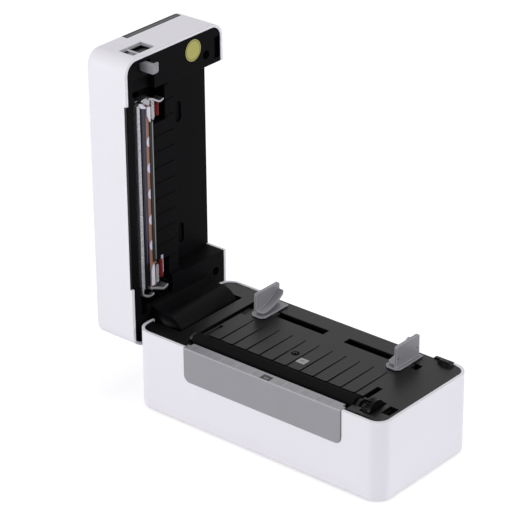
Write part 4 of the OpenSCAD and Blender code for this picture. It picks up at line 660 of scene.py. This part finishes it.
def makeFilmAndCover(head):
    # Film and rail are blocks, and the cover is an outline with one corner cut, carried along z
    low, high = head["ends"]
    sides = (head["glassHigh"] + head["filmGap"], head["filmHigh"])
    film = block((head["glassDeep"], head["filmTop"]), sides, (low, high - head["bareLength"]))
    makeHeadPiece("trackedFilm", film, "head_copper", "head_board", bevel=0.08)
    top, chamfer = head["coverTop"], head["coverChamfer"]
    foot = head["filmTop"] + head["seat"]
    outline = [(top, head["coverLow"] + chamfer), (top - chamfer, head["coverLow"]), (foot, head["coverLow"]),
               (foot, head["coverHigh"]), (top, head["coverHigh"])]
    start, end = head["coverEnds"]
    makeHeadPiece("driverCover", prism(outline, start, end, 2), "head_epoxy", "head_cover", bevel=0.12)
    first, last = head["railInset"]
    rail = block((top + head["seat"], head["railTop"]), head["railSides"], (start + first, end - last))
    makeHeadPiece("coverRail", rail, "head_plated", finish="railSteel", bevel=0.1)


makeCasting(headSettings)
makeCeramic(headSettings)
makeFilmAndCover(headSettings)

# Ends of the head: the bare end of the ceramic and the potting over its joints, as outlines in y and z with
# their depth in x; two rows of contacts on their beds; and the leads, a bent line in x and y
endSettings = {
    "bareEnd": [(-34.3, 216.9), (-33.5, 215.0), (-31.7, 212.9), (-27.3, 211.3), (-27.3, 212.7),
                (-32.3, 216.6)],
    "bareDepth": (-109.3, -108.45),
    "pottingTop": [(-27.1, 212.6), (-23.6, 212.2), (-23.6, 203.0), (-23.9, 201.2), (-24.6, 201.2),
                   (-27.1, 206.6)],
    "pottingLow": [(-27.0, 81.0), (-23.7, 81.0), (-23.7, 94.5), (-24.2, 96.8), (-24.9, 96.8),
                   (-26.9, 93.4)],
    "pottingDepth": (-109.0, -107.7),
    "contactRows": ((82.0, 95.6), (202.2, 216.8)), "contactPitch": 1.05, "contactWide": 0.56,
    "contactDepth": (-109.0, -107.7), "contactSides": (-22.9, -19.9), "contactShort": 0.9, "middle": 148.6,
    "bedDepth": (-109.4, -108.55), "bedSides": (-23.2, -19.2), "bedOver": (0.6, 0.4),
    "leadLine": [(-114.5, -17.6), (-111.6, -17.4), (-109.6, -16.8), (-108.9, -15.6), (-109.6, -14.3),
                 (-111.6, -13.6), (-114.5, -13.4), (-117.0, -13.4)],
    "leadRows": ((84.0, 96.6), (203.4, 212.4)), "leadRadius": 0.46, "leadPitch": 1.04, "leadSides": 12,
    "leadSteps": 40, "secondRow": (86.4, 99.6), "secondShift": (-0.6, 1.1),
}


def makeCeramicEnd(ends):
    # Outlines in y and z, carried along x between their depths
    bare = prism(ends["bareEnd"], *ends["bareDepth"], 0)
    makeHeadPiece("bareCeramicEnd", bare, "connector_white", bevel=0.25)
    potting = joined([prism(ends[key], *ends["pottingDepth"], 0) for key in ("pottingTop", "pottingLow")])
    makeHeadPiece("pottingBlocks", potting, "connector_white", "head_connectors", bevel=0.45, segments=3)


def makeContacts(ends):
    # One flat pin repeated at its pitch; in each row the pin nearest the head's middle is shorter
    pins, beds = [], []
    for low, high in ends["contactRows"]:
        places = np.arange(low, high, ends["contactPitch"])
        nearest = np.abs(places - ends["middle"]).min()
        for z in places:
            short = ends["contactShort"] if abs(z - ends["middle"]) == nearest else 0.0
            sides = (ends["contactSides"][0] + short, ends["contactSides"][1] - short)
            pins.append(block(ends["contactDepth"], sides, (z, z + ends["contactWide"])))
        below, above = ends["bedOver"]
        beds.append(block(ends["bedDepth"], ends["bedSides"], (low - below, high + above)))
    makeHeadPiece("contactBeds", joined(beds), "head_epoxy", bevel=0.2)
    makeHeadPiece("ribbedContacts", joined(pins), "contact_tin", "head_contacts", bevel=0.15)


def makeLeads(ends):
    # One hairpin of wire repeated along z, and a second layer moved inward behind the lower row
    line = smoothPath(ends["leadLine"], ends["leadSteps"])
    first = [(0, 0, z) for low, high in ends["leadRows"] for z in np.arange(low, high, ends["leadPitch"])]
    second = [(*ends["secondShift"], z) for z in np.arange(*ends["secondRow"], ends["leadPitch"])]
    for name, shifts, standsFor, finish in (("leadBundles", first, "head_leads", "lead_red"),
                                            ("paleLeads", second, None, "leadPale")):
        wires = tubes(line, ends["leadRadius"], ends["leadSides"], np.array(shifts))
        makeHeadPiece(name, wires, "lead_red", standsFor, finish, angle=60)


makeCeramicEnd(endSettings)
makeContacts(endSettings)
makeLeads(endSettings)

# Hooks at both ends: plated sheet seen from its edge, so each is a bent line in y and z with its depth in x.
# The top hook stays lower where it crosses the roller, so that the closed lid leaves the rubber free
hookSettings = {
    "thick": 1.3, "steps": 28, "front": -106.8, "rollerFront": -108.6, "rollerSide": -26.3,
    "tabDeep": -114.0, "lobeDeep": -109.6, "webDeep": -110.4, "gussetDeep": -110.0,
    "step": 0.2, "gussetStep": 0.1,
    "lowTab": [(-29.0, 80.2), (-26.6, 79.4), (-23.0, 78.0), (-19.5, 76.4), (-16.6, 75.4), (-14.2, 75.7),
               (-12.0, 76.8)],
    "lowLobe": [(-36.6, 81.6), (-36.9, 79.6), (-36.0, 77.6), (-33.4, 75.9), (-30.6, 75.0), (-28.0, 74.8),
                (-26.2, 75.6)],
    "topTab": [(-31.4, 217.6), (-29.0, 218.2), (-25.6, 218.3), (-22.4, 217.2), (-19.4, 215.5), (-16.6, 213.9),
               (-14.2, 213.5), (-11.6, 214.4)],
    "topWeb": [(-29.7, 216.8), (-27.3, 215.4), (-24.9, 213.8), (-23.9, 213.1)],
    "gusset": [(-29.7, 217.0), (-27.3, 217.8), (-23.1, 217.4), (-22.3, 215.0), (-23.9, 212.8),
               (-27.1, 215.4)],
    "plate": [(-117.6, -33.6), (-113.6, -33.6), (-113.0, -33.0), (-113.0, -21.6), (-113.6, -21.0),
              (-117.6, -21.0)],
    "plateRows": ((78.9, 80.1), (216.4, 217.2)),
}


def makeHooks(hooks):
    # Bent strips between their depths, a gusset between the top hook's two strips, and the plates at the
    # casting's ends, which are outlines in x and y
    names = ("lowTab", "lowLobe", "topTab", "topWeb")
    lowTab, lowLobe, topTab, topWeb = (smoothPath(hooks[name], hooks["steps"]) for name in names)
    clear = topTab[topTab[:, 0] > hooks["rollerSide"]]
    front, lower = hooks["front"], hooks["rollerFront"]
    strips = ((lowTab, hooks["tabDeep"], front), (lowLobe, hooks["lobeDeep"], front),
              (topTab, hooks["tabDeep"], lower), (clear, lower - hooks["step"], front),
              (topWeb, hooks["webDeep"], lower))
    shapes = [prism(strip(line, hooks["thick"]), deep, high, 0) for line, deep, high in strips]
    shapes.append(prism(hooks["gusset"], hooks["gussetDeep"], lower - hooks["gussetStep"], 0))
    shapes += [prism(hooks["plate"], *row, 2) for row in hooks["plateRows"]]
    makeHeadPiece("endHooks", joined(shapes), "head_plated", "head_bracket", bevel=0.22, angle=50)


makeHooks(hookSettings)
print("print head ready")

# Cap on the base's rear rim, an outline in x and z with a sloped left end, and a dark sheet inside the vents,
# painted shade that keeps the lifted floor under the base from showing through
baseSettings = {
    "cap": [(74.0, 55.6), (77.2, 59.3), (91.6, 59.3), (91.6, 55.6)], "capSides": (45.6, 48.0),
    "shadeSheet": ((3.5, 50.5), (-29.5, 3.5), (2.1, 2.4)),
}


def makeBaseParts(base):
    cap = prism(base["cap"], *base["capSides"], 1)
    makePiece("rearRimCap", cap, "black_deck", "base", "black_deck", bevel=0.25)
    # Dark sheet over the vents as painted shade: the floor under the base shows dark through them
    makePiece("ventShadeSheet", block(*base["shadeSheet"]), "black_cover", "base", "black_cover", bevel=0.05)


# Finger tab of the latch: a plate and a rib as x, y and z, and the dish under the fingertip, which falls by
# the square of the distance from its outer edge and is closed by a skirt
fingerSettings = {
    "tab": ((-123.3, -112.0), (-33.9, -27.2), (247.4, 248.85)),
    "rib": ((-123.3, -112.0), (-29.2, -27.2), (247.4, 250.1)),
    "dishEnds": (-111.2, -123.3), "dishSides": (-27.1, -15.8), "dishTop": 248.9, "dishFall": 1.9,
    "dishSteps": 17, "skirt": 1.0,
}


def makeFingerParts(finger):
    # The plate takes the acetal with painted shade, the rib the acetal with painted light
    makePiece("fingerTab", block(*finger["tab"]), "tabPaintedShade", "latch", "latch_grey", bevel=0.3)
    makePiece("fingerRib", block(*finger["rib"]), "ribPaintedLight", "latch", "latch_grey", bevel=0.3)
    outer, inner = finger["dishEnds"]
    t = np.linspace(0, 1, finger["dishSteps"])
    face = np.stack([outer + (inner - outer) * t, finger["dishTop"] - finger["dishFall"] * t ** 2], 1)
    bottom = finger["dishTop"] - finger["dishFall"] - finger["skirt"]
    dish = prism(np.vstack([face, [(inner, bottom), (outer, bottom)]]), *finger["dishSides"], 1)
    makePiece("fingerDish", dish, "dishPaintedLightShade", "latch", "latch_grey", bevel=0.2)


# Label sensor's eye: an oval plug level with the deck, and in it a ring round a lens, as radius and height
eyeSettings = {
    "plugCentre": (-1.7, -6.7), "plugHalf": (4.4, 1.75), "plugTop": 58.25, "plugDepth": 3.0, "sides": 48,
    "centre": (1.4, -7.1),
    "profile": [(0.02, 58.4), (0.45, 58.38), (0.8, 58.24), (1.9, 58.24), (2.1, 58.36), (2.7, 58.36),
                (2.9, 58.2), (2.9, 57.6)],
}


def makeEye(eye):
    # Plug: cosine and sine times its half sizes, carried down. Eye: its profile turned round an upright axis
    angle = np.linspace(0, 2 * math.pi, eye["sides"], endpoint=False)
    oval = np.stack([np.cos(angle), np.sin(angle)], 1) * eye["plugHalf"] + eye["plugCentre"]
    plug = prism(oval, eye["plugTop"] - eye["plugDepth"], eye["plugTop"], 2)
    makePiece("eyePlug", plug, "black_deck", "base", "black_deck")
    lens = turned(eye["profile"], eye["centre"], eye["sides"])
    makePiece("labelEye", lens, "eyeBlack", "base", "parts_black", angle=50)


makeBaseParts(baseSettings)
makeFingerParts(fingerSettings)
makeEye(eyeSettings)

# Hinge barrel: a copy of the node's own shape, its outer rims rounded at both ends. Flat and sharp are
# angles in degrees
barrelSettings = {
    "axis": (-96.5, 49.5), "leastRadius": 15.0, "rounding": 1.3, "steps": 5,
    "merge": 0.01, "flat": 0.6, "sharp": 32, "endBand": 0.05,
}


def copyOf(node, name):
    # Free copy of a CAD node with a mesh of its own, without the frame's marks on it
    obj = node.copy()
    obj.data = node.data.copy()
    obj.name = obj.data.name = name
    obj.parent = None
    for key in list(obj.keys()):
        del obj[key]
    scene.collection.objects.link(obj)
    return obj


def makeBarrel(barrel):
    obj = copyOf(nodes["hinge_barrel"], "roundedBarrel")
    mesh = obj.data
    work = bmesh.new()
    work.from_mesh(mesh)
    bmesh.ops.remove_doubles(work, verts=work.verts, dist=barrel["merge"] * mm)
    flat = math.radians(barrel["flat"])
    bmesh.ops.dissolve_limit(work, angle_limit=flat, verts=work.verts, edges=work.edges)
    work.to_mesh(mesh)
    work.free()
    # Bevelled: edges that lie in an end face, farther from the axis than the bore
    places = np.zeros(len(mesh.vertices) * 3)
    mesh.vertices.foreach_get("co", places)
    places = places.reshape(-1, 3) / mm
    pairs = np.zeros(len(mesh.edges) * 2, int)
    mesh.edges.foreach_get("vertices", pairs)
    x, y, z = np.moveaxis(places[pairs.reshape(-1, 2)], -1, 0)
    outer = np.hypot(x - barrel["axis"][0], z - barrel["axis"][1]).min(1) > barrel["leastRadius"]
    low = (np.abs(y - places[:, 1].min()) < barrel["endBand"]).all(1)
    high = (np.abs(y - places[:, 1].max()) < barrel["endBand"]).all(1)
    weight = mesh.attributes.new("bevel_weight_edge", "FLOAT", "EDGE")
    weight.data.foreach_set("value", (outer & (low | high)).astype(np.float32))
    edge = obj.modifiers.new("roundedEnds", "BEVEL")
    edge.width = barrel["rounding"] * mm
    edge.segments = barrel["steps"]
    edge.limit_method = "WEIGHT"
    edge.harden_normals = True
    mesh.shade_smooth()
    mesh.set_sharp_from_angle(angle=math.radians(barrel["sharp"]))
    mesh.materials.clear()
    mesh.materials.append(finishes["barrelBlack"])
    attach(obj, "lid")
    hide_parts("hinge_barrel")


makeBarrel(barrelSettings)
print("small parts and barrel ready")

# Scribed lines across the tear plate's top: a light and a dark line side by side, repeated at a pitch
scribeSettings = {
    "low": (-56.9, None, 57.4), "high": (70.0, -42.0, None), "first": -55.7, "pitch": 13.4, "half": 0.3,
    "lines": ((-1.0, "#b6b6ba"), (1.0, "#808085")), "share": 0.5, "soft": 0.08,
}


def markScribes(scribes):
    # Line: 1 where the distance to the nearest place of the row is below half a line's width
    mat = finishes["tear_grey"]
    tree = mat.node_tree
    band = boxMask(mat, scribes["low"], scribes["high"])
    half, soft = scribes["half"], scribes["soft"]
    for shift, colour in scribes["lines"]:
        first = scribes["first"] + shift
        away = addNode(tree, "ShaderNodeMath", {"operation": "SUBTRACT", 1: first * mm},
                       {0: nearestRepeat(mat, 0, first, scribes["pitch"])})
        distance = addNode(tree, "ShaderNodeMath", {"operation": "ABSOLUTE"}, {0: away.outputs[0]})
        limits = {"From Min": (half + soft) * mm, "From Max": (half - soft) * mm, "To Max": scribes["share"]}
        line = addNode(tree, "ShaderNodeMapRange", limits, {"Value": distance.outputs[0]})
        mask = addNode(tree, "ShaderNodeMath", {"operation": "MULTIPLY"}, {0: band, 1: line.outputs[0]})
        paint(mat, mask.outputs[0], colour)


# Painted highlight on the guides' edges: a pale band along every corner, where the rounded normal leaves the
# face's own
edgeHighlightSettings = {"finish": "guide_grey", "radius": 0.9, "from": 0.98, "to": 0.88, "colour": "#b4b4b9"}


def markEdgeHighlights(edges):
    # Lays the pale painted highlight along the corners
    mat = finishes[edges["finish"]]
    tree = mat.node_tree
    rounded = addNode(tree, "ShaderNodeBevel", {"samples": 8, "Radius": edges["radius"] * mm})
    own = addNode(tree, "ShaderNodeNewGeometry")
    agree = addNode(tree, "ShaderNodeVectorMath", {"operation": "DOT_PRODUCT"},
                    {0: rounded.outputs[0], 1: own.outputs["Normal"]})
    mask = addNode(tree, "ShaderNodeMapRange", {"From Min": edges["from"], "From Max": edges["to"]},
                   {"Value": agree.outputs["Value"]})
    paint(mat, mask.outputs[0], edges["colour"])


# Thin ring printed near the disc's edge, centre in y and z
ringSettings = {
    "finish": "sticker_yellow", "centre": (18.6, 238.8), "inner": 6.3, "outer": 6.9, "soft": 0.1,
    "share": 0.85, "colour": "#5f5c26",
}


def markRing(ring):
    # 1 between two distances from the centre, the product of a step up and a step down
    mat = finishes[ring["finish"]]
    tree = mat.node_tree
    flat = addNode(tree, "ShaderNodeCombineXYZ")
    for index, (source, middle) in enumerate(zip(axesOf(mat)[1:], ring["centre"])):
        shift = {"operation": "SUBTRACT", 1: middle * mm}
        tree.links.new(addNode(tree, "ShaderNodeMath", shift, {0: source}).outputs[0], flat.inputs[index])
    length = addNode(tree, "ShaderNodeVectorMath", {"operation": "LENGTH"}, {0: flat.outputs[0]})
    away = length.outputs["Value"]
    steps = []
    for edge, soft in ((ring["inner"], ring["soft"]), (ring["outer"], -ring["soft"])):
        limits = {"From Min": (edge - soft) * mm, "From Max": (edge + soft) * mm}
        steps.append(addNode(tree, "ShaderNodeMapRange", limits, {"Value": away}).outputs[0])
    inside = addNode(tree, "ShaderNodeMath", {"operation": "MULTIPLY"}, {0: steps[0], 1: steps[1]})
    mask = addNode(tree, "ShaderNodeMath", {"operation": "MULTIPLY", 1: ring["share"]},
                   {0: inside.outputs[0]})
    paint(mat, mask.outputs[0], ring["colour"])


# Tones that end at a straight border. In order: finish, low and high corner of the box (None is open),
# softness of its sides, colour, roughness where it changes
boxMarks = [
    # Tear plate: painted light on its front lip, and the centre mark is a dark patch with a grey middle
    ("tear_grey", (None, None, 57.7), (None, -48.3, None), 0.12, "#9d9da2", 0.3),
    ("tear_grey", (4.6, -48.4, 57.4), (12.7, -42.8, None), 0.12, "#232326", 0.75),
    ("tear_grey", (6.9, -47.0, 57.4), (10.6, -44.9, None), 0.12, "#77777b", 0.75),
    # Sensor window: one darker quarter
    ("window_pale", (9.9, -13.3, None), (13.3, -11.0, None), 0.3, "#7b7b7e", None),
    # Walls of the finger window: painted shade, grey under the rim and black lower down, so that the hollow
    # looks deeper
    ("white_housing", (-124.2, -35.8, 248.8), (-110.4, -13.6, 250.85), 0.15, "#c2c1c6", None),
    ("white_housing", (-124.2, -35.8, 248.8), (-110.4, -13.6, 250.0), 0.15, "#101012", None),
    # Rim inside the lid's notch for the tear plate, dark as the liner's edge turns over it
    ("white_housing", (-108.45, None, 86.0), (-107.9, -45.7, 219.5), 0.05, "#0d0d0f", None),
    # Painted highlight on the barrel's front rim, where it catches the light
    ("barrelBlack", (-96.5, -32.2, 53.0), (None, -31.45, None), 0.15, "#636366", None),
    # Panel: darker where it wraps over the lid's end, with one light line along its edge there
    ("panel_dark", (None, None, 250.5), (None, None, None), 0.25, "#2b2b2e", None),
    ("panel_dark", (-137.6, -13.4, 250.5), (-136.0, 36.8, None), 0.2, "#646468", None),
    # Guides: painted light on their front edges, and painted shade on the feet where they enter the deck
    ("guide_grey", (None, None, 59.5), (None, 15.2, None), 0.1, "#a6a6ab", None),
    ("guide_grey", (None, None, None), (None, None, 58.15), 0.05, "#1c1c1e", None),
    # Painted shade of a recessed channel in the flat deck beside its right front rim
    ("black_deck", (72.6, None, 57.5), (93.0, -43.7, None), 0.3, "#020203", 0.9),
    # Painted shade on the top hook, which lies in the shade of the notch
    ("head_plated", (None, None, 205.0), (None, None, None), 0.05, "#a2a2a6", None),
    # Glass darker toward the head's low end
    ("head_glaze", (None, None, None), (None, None, 98.5), 0.6, "#100f16", None),
    # Painted shade on the deep end of the finger dish
    ("dishPaintedLightShade", (None, None, None), (-121.0, None, None), 2.6, "#08080a", None),
]

# Small dark dots on the right guide's outer face: their y, z, half width and the least x
dotSettings = {
    "finish": "guide_grey", "places": (18.4, 38.6), "level": 66.0, "half": 0.55, "least": 59.0, "soft": 0.2,
    "colour": "#2c2c2e",
}


def markDots(dots):
    mat = finishes[dots["finish"]]
    half = dots["half"]
    for y in dots["places"]:
        low = (dots["least"], y - half, dots["level"] - half)
        high = (None, y + half, dots["level"] + half)
        paint(mat, boxMask(mat, low, high, dots["soft"]), dots["colour"])


def markBoxes(marks):
    for finish, low, high, soft, colour, roughness in marks:
        mat = finishes[finish]
        paint(mat, boxMask(mat, low, high, soft), colour, roughness)


markScribes(scribeSettings)
markEdgeHighlights(edgeHighlightSettings)
markRing(ringSettings)
markBoxes(boxMarks)
markDots(dotSettings)
print("marks ready")
